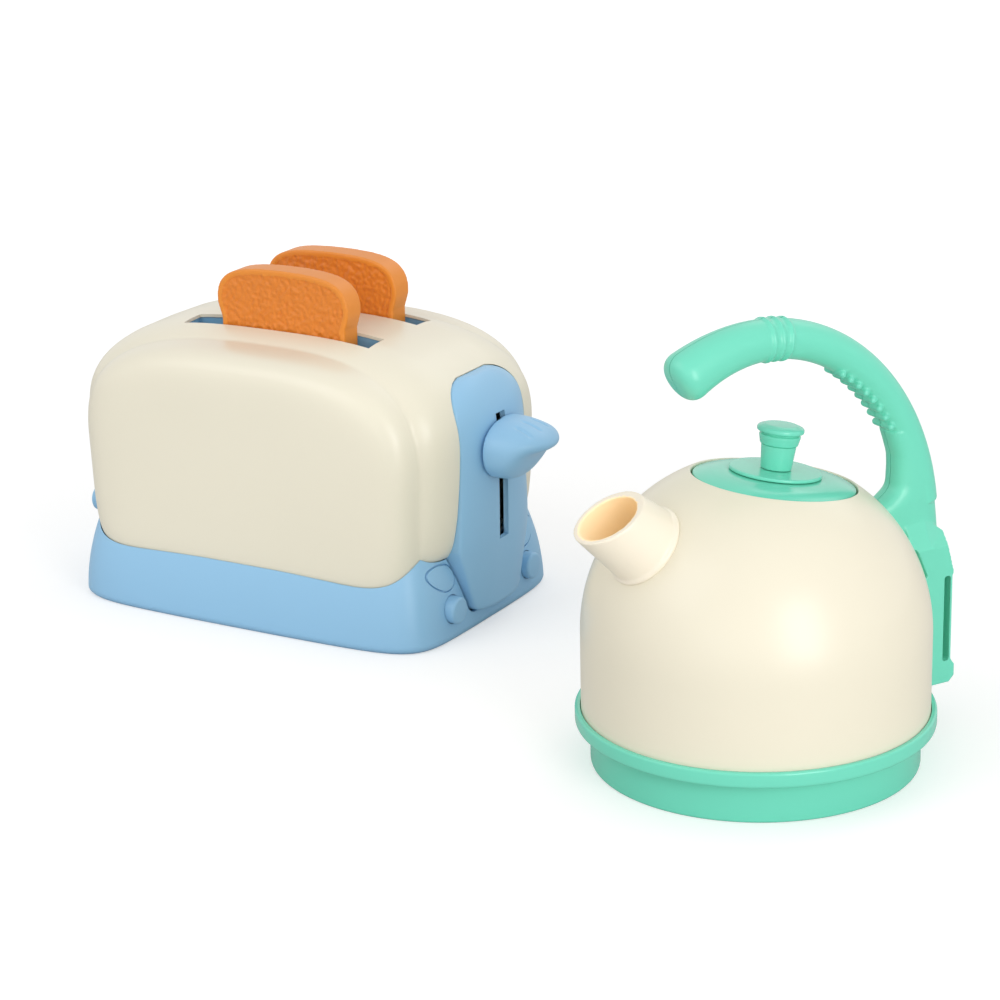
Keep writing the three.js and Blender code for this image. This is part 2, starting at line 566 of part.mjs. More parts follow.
function buttonSpring(side, name) {
  const [y, z] = [side * BUTTON.y, BUTTON.z];
  return coilSleeve(name, at(BUTTON_SEAT.x + GAP, y, z), at(BUTTON.back - GAP, y, z));
}

// A slice of bread standing on its tray: a crown with round corners over a narrower body
function slice(side, name) {
  const [half, neck] = [SLICE.width / 2, SLICE.neckWidth / 2];
  const bottom = trayTop() + GAP;
  const crown = SLICE.rise - SLICE.crownDepth;
  const outline = [[-neck, bottom], [neck, bottom], [neck, crown]];
  const lobeShares = [
    [0.97, 0.12], [1, 0.3], [0.995, 0.48], [0.95, 0.66], [0.86, 0.8], [0.72, 0.9], [0.5, 0.965],
    [0.25, 0.992],
  ];
  lobeShares.forEach(([u, v]) => outline.push([u * half, crown + v * SLICE.crownDepth]));
  outline.push([0, SLICE.rise]);
  lobeShares.toReversed().forEach(([u, v]) => outline.push([-u * half, crown + v * SLICE.crownDepth]));
  outline.push([-neck, crown]);
  const solid = slab(outline, SLICE.thickness / 2, SLICE.edge);
  return piece(name, solid.translate([SLICE.middle, (side * SLOT.spacing) / 2, 0]), toast);
}

function toaster() {
  const group = new THREE.Group();
  group.add(toasterBase(), bottomCover(), ...coverScrews(), toasterShell());
  group.add(breadWell(-1, "bread_well_front"), breadWell(1, "bread_well_back"));
  group.add(endPanel("end_panel_lever", true), endPanel("end_panel_plain", false));
  group.add(guideRod(-1, "guide_rod_front"), guideRod(1, "guide_rod_back"));
  group.add(carriage(), leverPaddle());
  group.add(carriageSpring(-1, "carriage_spring_front"), carriageSpring(1, "carriage_spring_back"));
  group.add(button(-1, "push_knob_front"), button(1, "push_knob_back"));
  group.add(buttonSpring(-1, "knob_spring_front"), buttonSpring(1, "knob_spring_back"));
  group.add(slice(-1, "toast_slice_front"), slice(1, "toast_slice_back"));
  return group;
}

// The kettle's forms

// The pot's outer surface moved outwards: a wall below a half-round dome, closed below at a level
function potForm(grow, bottom) {
  const radius = POT.radius + grow;
  const profile = [[0, bottom], [radius, bottom], [radius, POT.shoulder]];
  const steps = ROUND.dome;
  for (let i = 1; i < steps; i++) {
    const t = (Math.PI / 2) * (i / steps);
    profile.push([radius * Math.cos(t), POT.shoulder + radius * Math.sin(t)]);
  }
  profile.push([0, POT.shoulder + radius]);
  return solidOf(turned(profile));
}

// Moves a form made about the lid's own upright axis to the lid's place on the dome
function lidMatrix() {
  const tilt = new THREE.Matrix4().makeRotationY(LID_TILT);
  const centre = at(0, 0, LID.distance).applyMatrix4(tilt).add(at(0, 0, POT.shoulder));
  return tilt.setPosition(centre);
}

const lidPart = (profile, sides) => solidOf(turned(profile, sides), lidMatrix());

// The spout's axis runs from the dome's middle; its forms are made along +Z first
function spoutMatrix() {
  return new THREE.Matrix4().makeRotationY(SPOUT_RISE - Math.PI / 2).setPosition(0, 0, POT.shoulder);
}

const spoutPart = (profile, sides) => solidOf(turned(profile, sides), spoutMatrix());
const spoutRoot = () => Math.sqrt(POT.radius ** 2 - SPOUT.rootRadius ** 2);

// The kettle's pieces

function kettleBody() {
  const { radius, ledge, ledgeDepth } = LID;
  const inner = potForm(-WALL, POT.bottom - OVERRUN);
  const hollow = cut(potForm(0, POT.bottom), [inner]);
  const seatTop = -ledgeDepth;
  const seat = lidPart([
    [radius - ledge, seatTop - WALL], [radius + WALL, seatTop - WALL],
    [radius + WALL, seatTop + WALL], [radius - ledge, seatTop + WALL], [radius - ledge, seatTop - WALL],
  ]);
  const mouth = lidPart([[0, seatTop], [radius, seatTop], [radius, POT.radius], [0, POT.radius]]);
  const drop = LID.distance;
  const throat = lidPart([[0, -drop], [radius - ledge, -drop], [radius - ledge, POT.radius], [0, POT.radius]]);
  const neck = SPOUT.neck;
  const spoutHole = spoutPart([[0, drop / 2], [neck, drop / 2], [neck, SPOUT_REACH], [0, SPOUT_REACH]]);
  const bosses = potScrewPlaces().map(([x, y]) => {
    return standing(x, y, floorTop() + GAP, POT.bossTop, POT.bossRadius, ROUND.small);
  });
  const webs = potScrewAngles().map((t) => {
    const web = block(POT.bossReach, POT.radius - WALL / 2, -WALL / 2, WALL / 2, POT.bottom + GAP, POT.bossTop);
    return web.rotate([0, 0, THREE.MathUtils.radToDeg(t)]);
  });
  const bores = potScrewPlaces().map(([x, y]) => {
    return standing(x, y, 0, floorTop() + SCREW.bite + OVERRUN, SCREW.shankRadius + GAP, ROUND.small / 2);
  });
  const whole = joined([hollow, seat.intersect(potForm(-WALL / 4, POT.bottom)), ...bosses, ...webs]);
  return piece("kettle_body", cut(whole, [mouth, throat, spoutHole, ...bores]), potCream);
}

const floorTop = () => STAND.floorBottom + STAND_EXTRA.floor;

const potScrewAngles = () => [0, 1, 2].map((i) => (2 * Math.PI * (i + 1 / 2)) / 3);
const potScrewPlaces = () => {
  return potScrewAngles().map((t) => [POT.bossReach * Math.cos(t), POT.bossReach * Math.sin(t)]);
};

// The green stand: a cup with a stepped-out rim that the pot drops into
function kettleStand() {
  const { footRadius, rimRadius, rimBottom, rimTop, floorBottom } = STAND;
  const { floor, footWidth, edge, seatWidth } = STAND_EXTRA;
  const bore = POT.radius + GAP;
  const seat = POT.bottom - GAP;
  const well = POT.radius - seatWidth;
  const profile = [
    [0, floorBottom], [footRadius - footWidth, floorBottom], [footRadius - footWidth, 0],
    [footRadius - edge, 0], [footRadius, edge], [footRadius, rimBottom], [rimRadius - edge, rimBottom],
    [rimRadius, rimBottom + edge], [rimRadius, rimTop - edge], [rimRadius - edge, rimTop],
    [bore, rimTop], [bore, seat], [well, seat], [footRadius - WALL, rimBottom - WALL],
    [footRadius - WALL, floorBottom + floor], [0, floorBottom + floor],
  ];
  const holes = potScrewPlaces().flatMap(([x, y]) => [
    standing(x, y, -OVERRUN, rimBottom, SCREW.shankRadius + GAP, ROUND.small / 2),
    standing(x, y, -OVERRUN, floorBottom + SCREW.headHeight / 2, SCREW.headRadius + GAP, ROUND.small / 2),
  ]);
  return piece("kettle_stand", cut(solidOf(turned(profile)), holes), green);
}

function kettleScrews() {
  return potScrewPlaces().map(([x, y], i) => {
    const headTop = STAND.floorBottom + SCREW.headHeight / 2 - GAP;
    return screw(`stand_screw_${i + 1}`, x, y, headTop, STAND_EXTRA.floor + SCREW.bite);
  });
}

const lidEdge = () => LID.radius - RUNNING_GAP;

// The lid's crown carries the dome's curve on over the opening, with a plug below that drops inside
function kettleLid() {
  const edge = lidEdge();
  const low = -LID.ledgeDepth + GAP;
  const plug = LID.radius - LID.ledge - RUNNING_GAP;
  const crownShares = [[1, 0], [0.8, 0.32], [0.55, 0.62], [0.3, 0.83], [0.05, 1]];
  const profile = [
    [0, lidUnder()], [plug - WALL, lidUnder()], [plug - WALL, low - LID.ledge], [plug, low - LID.ledge],
    [plug, low], [edge, low],
    ...crownShares.map(([u, v]) => [THREE.MathUtils.lerp(PLATE.radius, edge, u), v * LID.rise]),
    [0, LID.rise],
  ];
  const bore = lidPart([
    [0, lidUnder() - OVERRUN], [SCREW.shankRadius + GAP, lidUnder() - OVERRUN],
    [SCREW.shankRadius + GAP, LID.rise + OVERRUN], [0, LID.rise + OVERRUN],
  ], ROUND.small);
  return piece("kettle_lid", cut(lidPart(profile), [bore]), green);
}

const lidUnder = () => LID.rise / 2 - WALL;
const plateTop = () => LID.rise + GAP + PLATE.rise;

function lidPlate() {
  const [bottom, top, radius] = [LID.rise + GAP, plateTop(), PLATE.radius];
  const rim = PLATE.rise / 3;
  const bore = SCREW.shankRadius + GAP;
  const profile = [
    [bore, bottom], [radius - rim, bottom], [radius, bottom + rim], [radius, top - rim],
    [radius - rim, top], [bore, top], [bore, bottom],
  ];
  return piece("lid_plate", lidPart(profile), green);
}

function lidKnob() {
  const foot = plateTop() + GAP;
  const { neck, band, cap, grooveHeight } = KNOB_LEVELS;
  const { footRadius, neckRadius, bandRadius, capRadius, groove } = KNOB;
  const profile = [
    [0, 0], [footRadius, 0], [neckRadius - groove / 2, neck - groove], [neckRadius - groove / 2, neck],
    [bandRadius - 2 * groove, neck], [bandRadius - groove, neck + grooveHeight],
    [bandRadius, band - grooveHeight], [bandRadius - groove, band],
    [bandRadius - groove, band + grooveHeight], [capRadius, band + 2 * grooveHeight],
    [capRadius, (band + cap) / 2], [capRadius - groove, cap - groove],
    [capRadius - 3 * groove, cap - groove / 4], [0, cap],
  ].map(([radius, height]) => [radius, height + foot]);
  const depth = foot + SCREW.bite;
  const bore = lidPart([
    [0, foot - OVERRUN], [SCREW.shankRadius + GAP, foot - OVERRUN], [SCREW.shankRadius + GAP, depth + GAP],
    [0, depth + GAP],
  ], ROUND.small);
  return piece("lid_knob", cut(lidPart(profile, ROUND.lathe / 2), [bore]), green);
}

function lidScrew() {
  const seat = lidUnder() - GAP;
  const end = plateTop() + SCREW.bite;
  const { headRadius, headHeight, shankRadius } = SCREW;
  const profile = [
    [0, seat - headHeight], [headRadius, seat - headHeight], [headRadius, seat], [shankRadius, seat],
    [shankRadius, end], [0, end],
  ];
  return piece("lid_screw", lidPart(profile, ROUND.small), steel);
}

// The spout: a cone with a bead round its root, a bore right through and a mouth cut on the slant
function kettleSpout() {
  const { rootRadius, tipRadius, bore, neck } = SPOUT;
  const start = POT.radius - WALL - GAP;
  const over = SPOUT_REACH + tipRadius;
  const overRadius = tipRadius - (tipRadius * (rootRadius - tipRadius)) / SPOUT.length;
  const root = spoutRoot() - BEAD.radius;
  const cone = spoutPart([
    [0, root], [rootRadius, root], [tipRadius, SPOUT_REACH], [overRadius, over], [0, over],
  ]);
  const outside = cone.add(spoutPart(spoutBead())).subtract(potForm(GAP, 0));
  const collarTop = POT.radius + BEAD.radius;
  const collar = spoutPart([[0, start], [neck - GAP, start], [neck - GAP, collarTop], [0, collarTop]]);
  const through = spoutPart([[0, 0], [bore, 0], [bore, over + OVERRUN], [0, over + OVERRUN]], ROUND.knob);
  return piece("kettle_spout", cut(outside.add(collar), [through, slantTool()]), spoutCream);
}

// The round section of the bead
function spoutBead() {
  const { radius, reach } = BEAD;
  return Array.from({ length: COUNTS.bead + 1 }, (_, i) => {
    const t = (2 * Math.PI * i) / COUNTS.bead;
    return [reach - radius + radius * Math.cos(t), spoutRoot() + radius / 2 + radius * Math.sin(t)];
  });
}

// A block whose lower face is the spout's slanted mouth
function slantTool() {
  const size = 2 * SPOUT_REACH;
  const box = new THREE.BoxGeometry(size, size, size).translate(0, 0, size / 2);
  const slant = new THREE.Matrix4().makeRotationY(SPOUT_CUT).setPosition(0, 0, SPOUT_REACH);
  return solidOf(box, spoutMatrix().multiply(slant));
}

// A point on the grip's middle line, and the line's direction there
function gripPoint(t) {
  return at(GRIP.middle + GRIP.reach * Math.cos(t), 0, GRIP.level + GRIP.height * Math.sin(t));
}

function gripFrame(t) {
  const along = at(-GRIP.reach * Math.sin(t), 0, GRIP.height * Math.cos(t)).normalize();
  return { middle: gripPoint(t), out: at(along.z, 0, -along.x), side: at(0, 1, 0), along };
}

function gripRing(t, radius, lift = 0) {
  const { middle, out, side, along } = gripFrame(t);
  const ring = [];
  for (let i = 0; i < ROUND.tube; i++) {
    const a = (2 * Math.PI * (i + 1 / 2)) / ROUND.tube;
    const p = middle.clone().addScaledVector(out, radius * Math.cos(a));
    ring.push(p.addScaledVector(side, radius * Math.sin(a)).addScaledVector(along, lift));
  }
  return ring;
}

// The grip thickens towards its tip
function gripRadius(t) {
  const share = (t - GRIP_ANGLES.foot) / (GRIP_ANGLES.tip - GRIP_ANGLES.foot);
  return GRIP.radius + (GRIP.tipRadius - GRIP.radius) * share ** 4;
}

// The arched grip as a tube that thickens towards its blunt tip, moved inwards by a wall
function gripTube(inward) {
  const rings = [];
  for (let i = 0; i <= ROUND.bends; i++) {
    const t = THREE.MathUtils.lerp(GRIP_ANGLES.foot, GRIP_ANGLES.tip, i / ROUND.bends);
    rings.push(gripRing(t, gripRadius(t) - inward));
  }
  const endShares = [[0.93, 0.3], [0.74, 0.52], [0.45, 0.64]];
  endShares.forEach(([wide, on]) => {
    rings.push(gripRing(GRIP_ANGLES.tip, (GRIP.tipRadius - inward) * wide, (GRIP.tipRadius - inward) * on));
  });
  return lofted(rings);
}

// A thin disc across the grip, for the bands on its top
function gripDisc(t, radius, width) {
  const { middle, along } = gripFrame(t);
  const half = along.clone().multiplyScalar(width / 2);
  return bar(middle.clone().sub(half), middle.clone().add(half), radius, radius, ROUND.small);
}

function gripBands() {
  const step = BAND.pitch / GRIP.height;
  return Array.from({ length: BAND.count }, (_, i) => {
    const t = BAND_ANGLE + (i - (BAND.count - 1) / 2) * step;
    return gripDisc(t, gripRadius(t) + BAND.proud, BAND.width);
  });
}

function gripRibs() {
  return Array.from({ length: RIB.count }, (_, i) => {
    const t = THREE.MathUtils.lerp(RIB_ANGLES.first, RIB_ANGLES.last, i / (RIB.count - 1));
    const { middle, out } = gripFrame(t);
    const under = middle.clone().addScaledVector(out, -(gripRadius(t) + RIB.proud - RIB.width));
    const half = at(0, RIB.halfWidth, 0);
    return bar(under.clone().sub(half), under.clone().add(half), RIB.width, RIB.width, ROUND.small / 2);
  });
}

// The foot: it leaves the grip, flares onto the dome and runs down into the bracket
function footForm() {
  const rings = footShares.map(([up, inner, outer, wide]) => {
    const [half, middle] = [((outer - inner) / 2) * POT.radius, ((outer + inner) / 2) * POT.radius];
    const ring = superellipse(half, wide * BRACKET.halfWidth, FOOT_POWER, ROUND.small * 2);
    return ring.map(([x, y]) => at(middle + x, y, THREE.MathUtils.lerp(FOOT.bottom, FOOT.top, up)));
  });
  return lofted(rings);
}

const beyondRim = (reach) => STAND.rimRadius + reach;
const insidePot = () => POT.radius - WALL;

// The bracket that holds the handle to the stand, with a roof that slopes up to the handle's foot
function bracketForm() {
  const { bottom, outer, lugTop, bump } = BRACKET;
  const lug = beyondRim(BEYOND_RIM.lug);
  const body = slab([
    [insidePot(), bottom], [lug - WALL, bottom], [lug, bottom + WALL], [lug, lugTop],
    [outer - GAP, lugTop + WALL], [outer - GAP, bump - WALL / 2], [outer + GAP, bump],
    [beyondRim(BEYOND_RIM.eave), ROOF.eave], [insidePot(), ROOF.eave],
  ], BRACKET.halfWidth);
  return body.add(roofForm());
}

// The roof: the same outline at both ridges and at both eaves, lower at the eaves
function roofForm() {
  const { eave, fall, ridge, ridgeHalfWidth } = ROOF;
  const section = (y, end, endTop, top) => [
    at(insidePot(), y, BRACKET.bump), at(beyondRim(end), y, BRACKET.bump), at(beyondRim(end), y, endTop),
    at(beyondRim(BEYOND_RIM.ridge), y, top), at(insidePot(), y, top),
  ];
  const low = (side) => section(side * BRACKET.halfWidth, BEYOND_RIM.eave, eave, eave);
  const high = (side) => section(side * ridgeHalfWidth, BEYOND_RIM.fall, fall, ridge);
  return lofted([low(-1), high(-1), high(1), low(1)]);
}

// The recess that runs down each side of the bracket
function bracketRecess(side) {
  const { bottom, top, width, inset, depth } = BRACKET_SLOT;
  const right = BRACKET.outer - inset;
  const y = side * BRACKET.halfWidth;
  return block(right - width, right, y - depth, y + depth, bottom, top);
}

const handleScrewPlaces = () => [
  gripPoint(THREE.MathUtils.degToRad(100)),
  gripPoint(THREE.MathUtils.degToRad(28)),
  at((POT.radius + BRACKET.outer) / 2 - GAP, 0, BRACKET.bottom + 2 * SCREW.headRadius),
  at((POT.radius + BRACKET.outer) / 2 - GAP, 0, ROOF.eave - 2 * SCREW.headRadius),
];

// One half of the handle and bracket; side -1 is the near half, which takes the screws' points
function handleHalf(side, name) {
  const hollow = gripTube(GRIP_WALL);
  const posts = handleScrewPlaces().map((p) => {
    const half = at(0, GRIP.radius - GRIP_WALL / 2, 0);
    return bar(p.clone().sub(half), p.clone().add(half), SCREW.headRadius + WALL / 2);
  });
  const tube = cut(gripTube(0), [hollow]);
  const solid = joined([tube, footForm(), bracketForm(), ...gripBands(), ...gripRibs(), ...posts]);
  const far = 2 * POT.radius;
  const keep = block(-far, far, side < 0 ? -far : GAP / 2, side < 0 ? -GAP / 2 : far, 0, 2 * far);
  const rimRoom = [STAND.rimRadius + GAP, STAND.rimTop + GAP];
  const rim = solidOf(turned([[0, 0], [rimRoom[0], 0], rimRoom, [0, rimRoom[1]]]));
  const recesses = bothSides(bracketRecess);
  const tools = [potForm(GAP, 0), rim, ...recesses, hollowBands(), ...handleScrewBores(side)];
  return piece(name, cut(solid, tools).intersect(keep), green);
}

// Keeps the bands hollow, so that the grip's inside stays one open space
const hollowBands = () => cut(gripTube(GRIP_WALL), handleScrewPlaces().map((p) => {
  const half = at(0, GRIP.radius, 0);
  return bar(p.clone().sub(half), p.clone().add(half), SCREW.headRadius + WALL / 2);
}));

const handleScrewReach = (index) => (index < 2 ? GRIP.radius : BRACKET.halfWidth);

function handleScrewBores(side) {
  return handleScrewPlaces().flatMap((p, i) => {
    const reach = handleScrewReach(i);
    const headSeat = p.clone().setY(reach - 2 * SCREW.headHeight);
    const mouth = p.clone().setY(reach + OVERRUN);
    const end = p.clone().setY(-SCREW.bite / 2 - GAP);
    const pilot = bar(end, mouth, SCREW.shankRadius + GAP, undefined, ROUND.small / 2);
    return side < 0 ? [pilot] : [pilot, bar(headSeat, mouth, SCREW.headRadius + GAP, undefined, ROUND.small)];
  });
}

function handleScrews() {
  return handleScrewPlaces().map((p, i) => {
    const seat = handleScrewReach(i) - 2 * SCREW.headHeight + GAP;
    const head = bar(p.clone().setY(seat), p.clone().setY(seat + SCREW.headHeight), SCREW.headRadius);
    const inside = p.clone().setY(seat + SCREW.headHeight / 2);
    const shank = bar(p.clone().setY(-SCREW.bite / 2), inside, SCREW.shankRadius, undefined, ROUND.small / 2);
    return piece(`handle_screw_${i + 1}`, head.add(shank), steel);
  });
}

function kettle() {
  const group = new THREE.Group();
  group.add(kettleStand(), kettleBody(), ...kettleScrews(), kettleSpout());
  group.add(kettleLid(), lidPlate(), lidKnob(), lidScrew());
  group.add(handleHalf(-1, "handle_half_near"), handleHalf(1, "handle_half_far"), ...handleScrews());
  group.position.set(KETTLE_PLACE.x, KETTLE_PLACE.y, 0);
  group.rotation.z = KETTLE_PLACE.turn;
  return group;
}

// The set: both toys, moved together so that the origin is below the middle of their box
function breakfastSet() {
  const set = new THREE.Group();
  set.add(toaster(), kettle());
  set.updateMatrixWorld(true);
  const middle = new THREE.Box3().setFromObject(set, true).getCenter(new THREE.Vector3());
  set.children.forEach((toy) => toy.position.sub(middle.setZ(0)));
  return set;
}

export default breakfastSet();
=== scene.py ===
"""The looks of a toy breakfast set: a play toaster with two slices of toast, and a play kettle.

Every piece is made in millimetres in its toy's own frame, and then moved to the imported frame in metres.
"""
import json
import math

import bmesh
import bpy
import numpy as np
from mathutils import Matrix, Vector, geometry, noise
from mathutils.bvhtree import BVHTree


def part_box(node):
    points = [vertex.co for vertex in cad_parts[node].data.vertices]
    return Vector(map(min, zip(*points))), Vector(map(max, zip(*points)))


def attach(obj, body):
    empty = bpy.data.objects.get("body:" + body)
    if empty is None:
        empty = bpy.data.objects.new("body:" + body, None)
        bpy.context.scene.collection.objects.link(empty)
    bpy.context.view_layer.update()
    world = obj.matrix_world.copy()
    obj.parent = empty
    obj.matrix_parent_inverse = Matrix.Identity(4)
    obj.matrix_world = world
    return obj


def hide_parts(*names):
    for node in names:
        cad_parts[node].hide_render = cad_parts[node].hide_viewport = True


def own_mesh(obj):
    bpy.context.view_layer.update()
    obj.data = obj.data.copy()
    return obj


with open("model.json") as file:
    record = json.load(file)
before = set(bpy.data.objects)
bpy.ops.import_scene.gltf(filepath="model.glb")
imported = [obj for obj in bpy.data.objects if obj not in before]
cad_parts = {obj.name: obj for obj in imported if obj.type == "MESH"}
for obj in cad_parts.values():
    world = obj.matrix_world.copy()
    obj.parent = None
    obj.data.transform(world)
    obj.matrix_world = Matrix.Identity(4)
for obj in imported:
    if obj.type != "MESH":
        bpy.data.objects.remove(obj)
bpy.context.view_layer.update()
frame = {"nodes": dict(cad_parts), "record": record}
RECORD = frame["record"]
BODIES = {node: body for body, nodes in RECORD["behaviour"]["bodies"].items() for node in nodes}


# Places of the two toys

def middle_of(node):
    low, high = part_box(node)
    return (low + high) / 2


def at(x, y, z):
    return Matrix.Translation((x, y, z))


def turning(degrees, axis):
    return Matrix.Rotation(math.radians(degrees), 4, axis)


MM = Matrix.Scale(0.001, 4)
toaster_middle = middle_of("toaster_base")
kettle_middle = middle_of("kettle_stand")
TOASTER = at(toaster_middle.x, toaster_middle.y, 0) @ MM
KETTLE_TURN = turning(60, "Z")
KETTLE = at(kettle_middle.x, kettle_middle.y, 0) @ KETTLE_TURN @ MM

# Sizes, in millimetres, as in the solids
GAP = 0.3
WALL = 2.5
OVER = 3.0
SCREW_HOLE, HEAD_HOLE = 1.7, 3.2
CHEEK = dict(length=89.5, width=62.5, bottom=25, middle=77.6, top=126.9, plan=9, crown=9, sill=18, upper=2.92,
             lower=13, taper=0.055)
CORE = dict(length=98.5, width=54, bottom=33, middle=82.6, top=131.8, plan=6, crown=3.5, sill=8, upper=2.98,
            lower=12, taper=0.05)
SKIRT_LENGTH, SKIRT_WIDTH = 84, 56
BASE_LENGTH, BASE_WIDTH, BASE_HEIGHT, BASE_FLARE = 96.7, 66.4, 50, 10.9
BASE_EDGE, BASE_EDGE_HEIGHT = 2, 3
BADGE_HALF_LENGTH, BADGE_HALF_WIDTH, BADGE_OUT, BADGE_LEVEL = 9, 5.3, 37.4, 30.2
COLUMN_OUT, COLUMN_SIDE, COLUMN_RADIUS, COVER_TOP = 62, 41, 4.5, 5.5
KNOB_SIDE, KNOB_LEVEL, KNOB_RADIUS = 33.5, 14.8, 6.2
SLOT_LEFT, SLOT_RIGHT, SLOT_WIDTH, SLOT_SPACING = -48.9, 51.2, 13, 40.6
PANEL_BACK, PANEL_FACE, PANEL_TOP, PANEL_BOTTOM = 87, 103.3, 116, 9.2
PANEL_FOOT_HALF, PANEL_WIDE_HALF, PANEL_NECK_HALF, PANEL_CORNER = 19.5, 30.5, 28.3, 4
PANEL_WIDE_LEVEL, PANEL_BEND_LEVEL, PANEL_NECK_LEVEL, PANEL_CROWN_LEVEL = 40, 72, 78, 98
PADDLE_START, PADDLE_TIP, PADDLE_LEVEL = 103.9, 129.3, 84
PADDLE_HALF_WIDTH, PADDLE_HALF_HEIGHT = 19.25, 14.6
SLICE_HALF_WIDTH, SLICE_HALF_NECK, SLICE_HALF_THICKNESS, SLICE_CROWN, SLICE_TOP = 35, 33, 5.8, 134, 158
POT_RADIUS, POT_SHOULDER, POT_BOTTOM = 69.8, 55, 18.8
MOUTH_RADIUS, THROAT_RADIUS, PLATE_RADIUS, LID_RISE = 33, 29, 18.4, 60.3
STAND_BOSS_CIRCLE = 58
SPOUT_BORE, SPOUT_REACH, SPOUT_RISE = 11.6, 90.3, 40.5
BRACKET_HALF, FOOT_BOTTOM, FOOT_RISE = 13, 74, 52.5
GRIP_MIDDLE, GRIP_LEVEL, GRIP_REACH, GRIP_HEIGHT = 1.3, 81.8, 79.3, 91.1
GRIP_FOOT, GRIP_TIP = math.radians(8), math.radians(115)
GRIP_FOOT_RADIUS, GRIP_TIP_RADIUS = 7.4, 10.2
TRAY_TOP, TRAY_THICKNESS, LEVER_TRAVEL, KNOB_TRAVEL = 82.5, 6, 27, 4


# Meshes

def add_object(name, data):
    obj = bpy.data.objects.new(name, data)
    bpy.context.scene.collection.objects.link(obj)
    return obj


def tidy_mesh(mesh, weld=0.001):
    work = bmesh.new()
    work.from_mesh(mesh)
    bmesh.ops.remove_doubles(work, verts=work.verts, dist=weld)
    bmesh.ops.dissolve_degenerate(work, edges=work.edges, dist=weld / 10)
    bmesh.ops.recalc_face_normals(work, faces=work.faces)
    work.to_mesh(mesh)
    work.free()
    return mesh


def solid(name, points, faces, weld=0.001):
    mesh = bpy.data.meshes.new(name)
    mesh.from_pydata([tuple(p) for p in points], [], faces)
    return add_object(name, tidy_mesh(mesh, weld))


def loft(name, rings, ends=(None, None)):
    """A closed solid through rings of equally many points, with a fan over each end."""
    count = len(rings[0])
    points = [p for ring in rings for p in ring]
    points += [np.mean(rings[i], axis=0) if end is None else end for i, end in zip((0, -1), ends)]
    first, last = len(points) - 2, len(points) - 1
    faces = []
    for j in range(count):
        k = (j + 1) % count
        faces.append((first, k, j))
        faces.append((last, (len(rings) - 1) * count + j, (len(rings) - 1) * count + k))
        for i in range(len(rings) - 1):
            a, b = i * count, (i + 1) * count
            faces.append((a + j, a + k, b + k, b + j))
    return solid(name, points, faces)


def turned(name, profile, sides=128, matrix=None):
    """A closed profile of (radius, height) pairs turned about Z."""
    points, faces = [], []
    for i in range(sides):
        angle = 2 * math.pi * i / sides
        points += [(r * math.cos(angle), r * math.sin(angle), z) for r, z in profile]
    count = len(profile)
    for i in range(sides):
        a, b = i * count, ((i + 1) % sides) * count
        for j in range(count):
            k = (j + 1) % count
            if profile[j][0] > 0 or profile[k][0] > 0:
                faces.append((a + j, b + j, b + k, a + k))
    obj = solid(name, points, faces)
    if matrix:
        obj.data.transform(matrix)
    return obj


def rounded(corners, steps=5):
    """A polyline of (x, y) or (x, y, radius) corners with each radius worked in as an arc."""
    out = []
    count = len(corners)
    for i, corner in enumerate(corners):
        radius = corner[2] if len(corner) > 2 else 0
        here = Vector(corner[:2])
        if not radius:
            out.append(tuple(here))
            continue
        before = Vector(corners[i - 1][:2]) - here
        after = Vector(corners[(i + 1) % count][:2]) - here
        half = before.angle(after) / 2
        run = min(radius / math.tan(half), 0.49 * before.length, 0.49 * after.length)
        start, end = here + before.normalized() * run, here + after.normalized() * run
        for j in range(steps + 1):
            t = j / steps
            out.append(tuple(start * (1 - t) ** 2 + here * (2 * t * (1 - t)) + end * t ** 2))
    return out


def block(x0, x1, y0, y1, z0, z1):
    points = [(x, y, z) for x in (x0, x1) for y in (y0, y1) for z in (z0, z1)]
    faces = [(0, 1, 3, 2), (4, 6, 7, 5), (0, 4, 5, 1), (2, 3, 7, 6), (0, 2, 6, 4), (1, 5, 7, 3)]
    return solid("block", points, faces)


def slab(name, outline, y0, y1):
    """An outline of (x, z) pairs, filled from y0 to y1."""
    count = len(outline)
    points = [(x, y0, z) for x, z in outline] + [(x, y1, z) for x, z in outline]
    faces = [tuple(range(count)), tuple(range(2 * count - 1, count - 1, -1))]
    faces += [(i, (i + 1) % count, count + (i + 1) % count, count + i) for i in range(count)]
    return solid(name, points, faces)


def tube(inner, outer, z0, z1, sides, matrix=None):
    """A round wall from an inner to an outer radius, or a full round where the inner one is 0."""
    return turned("tube", [(inner, z0), (outer, z0), (outer, z1), (inner, z1)], sides, matrix)


def standing(start, axis):
    """Turns what stands on the origin so that it stands on the start, along the axis."""
    return Matrix.Translation(start) @ Vector((0, 0, 1)).rotation_difference(axis).to_matrix().to_4x4()


def bar(start, end, radius, sides=32):
    axis = Vector(end) - Vector(start)
    return tube(0, radius, 0, axis.length, sides, standing(start, axis))


def capsule(start, end, radius):
    axis = Vector(end) - Vector(start)
    profile = [(0, -radius)]
    profile += [(radius * math.sin(t), -radius * math.cos(t)) for t in np.linspace(0.2, math.pi / 2, 7)]
    profile += [(radius * math.cos(t), axis.length + radius * math.sin(t)) for t in np.linspace(0, 1.37, 7)]
    profile += [(0, axis.length + radius)]
    return turned("capsule", profile, 24, standing(start, axis))


def applied(obj):
    """The object with its modifiers worked into its mesh."""
    graph = bpy.context.evaluated_depsgraph_get()
    mesh = bpy.data.meshes.new_from_object(obj.evaluated_get(graph))
    obj.modifiers.clear()
    old, obj.data = obj.data, mesh
    bpy.data.meshes.remove(old)
    return obj


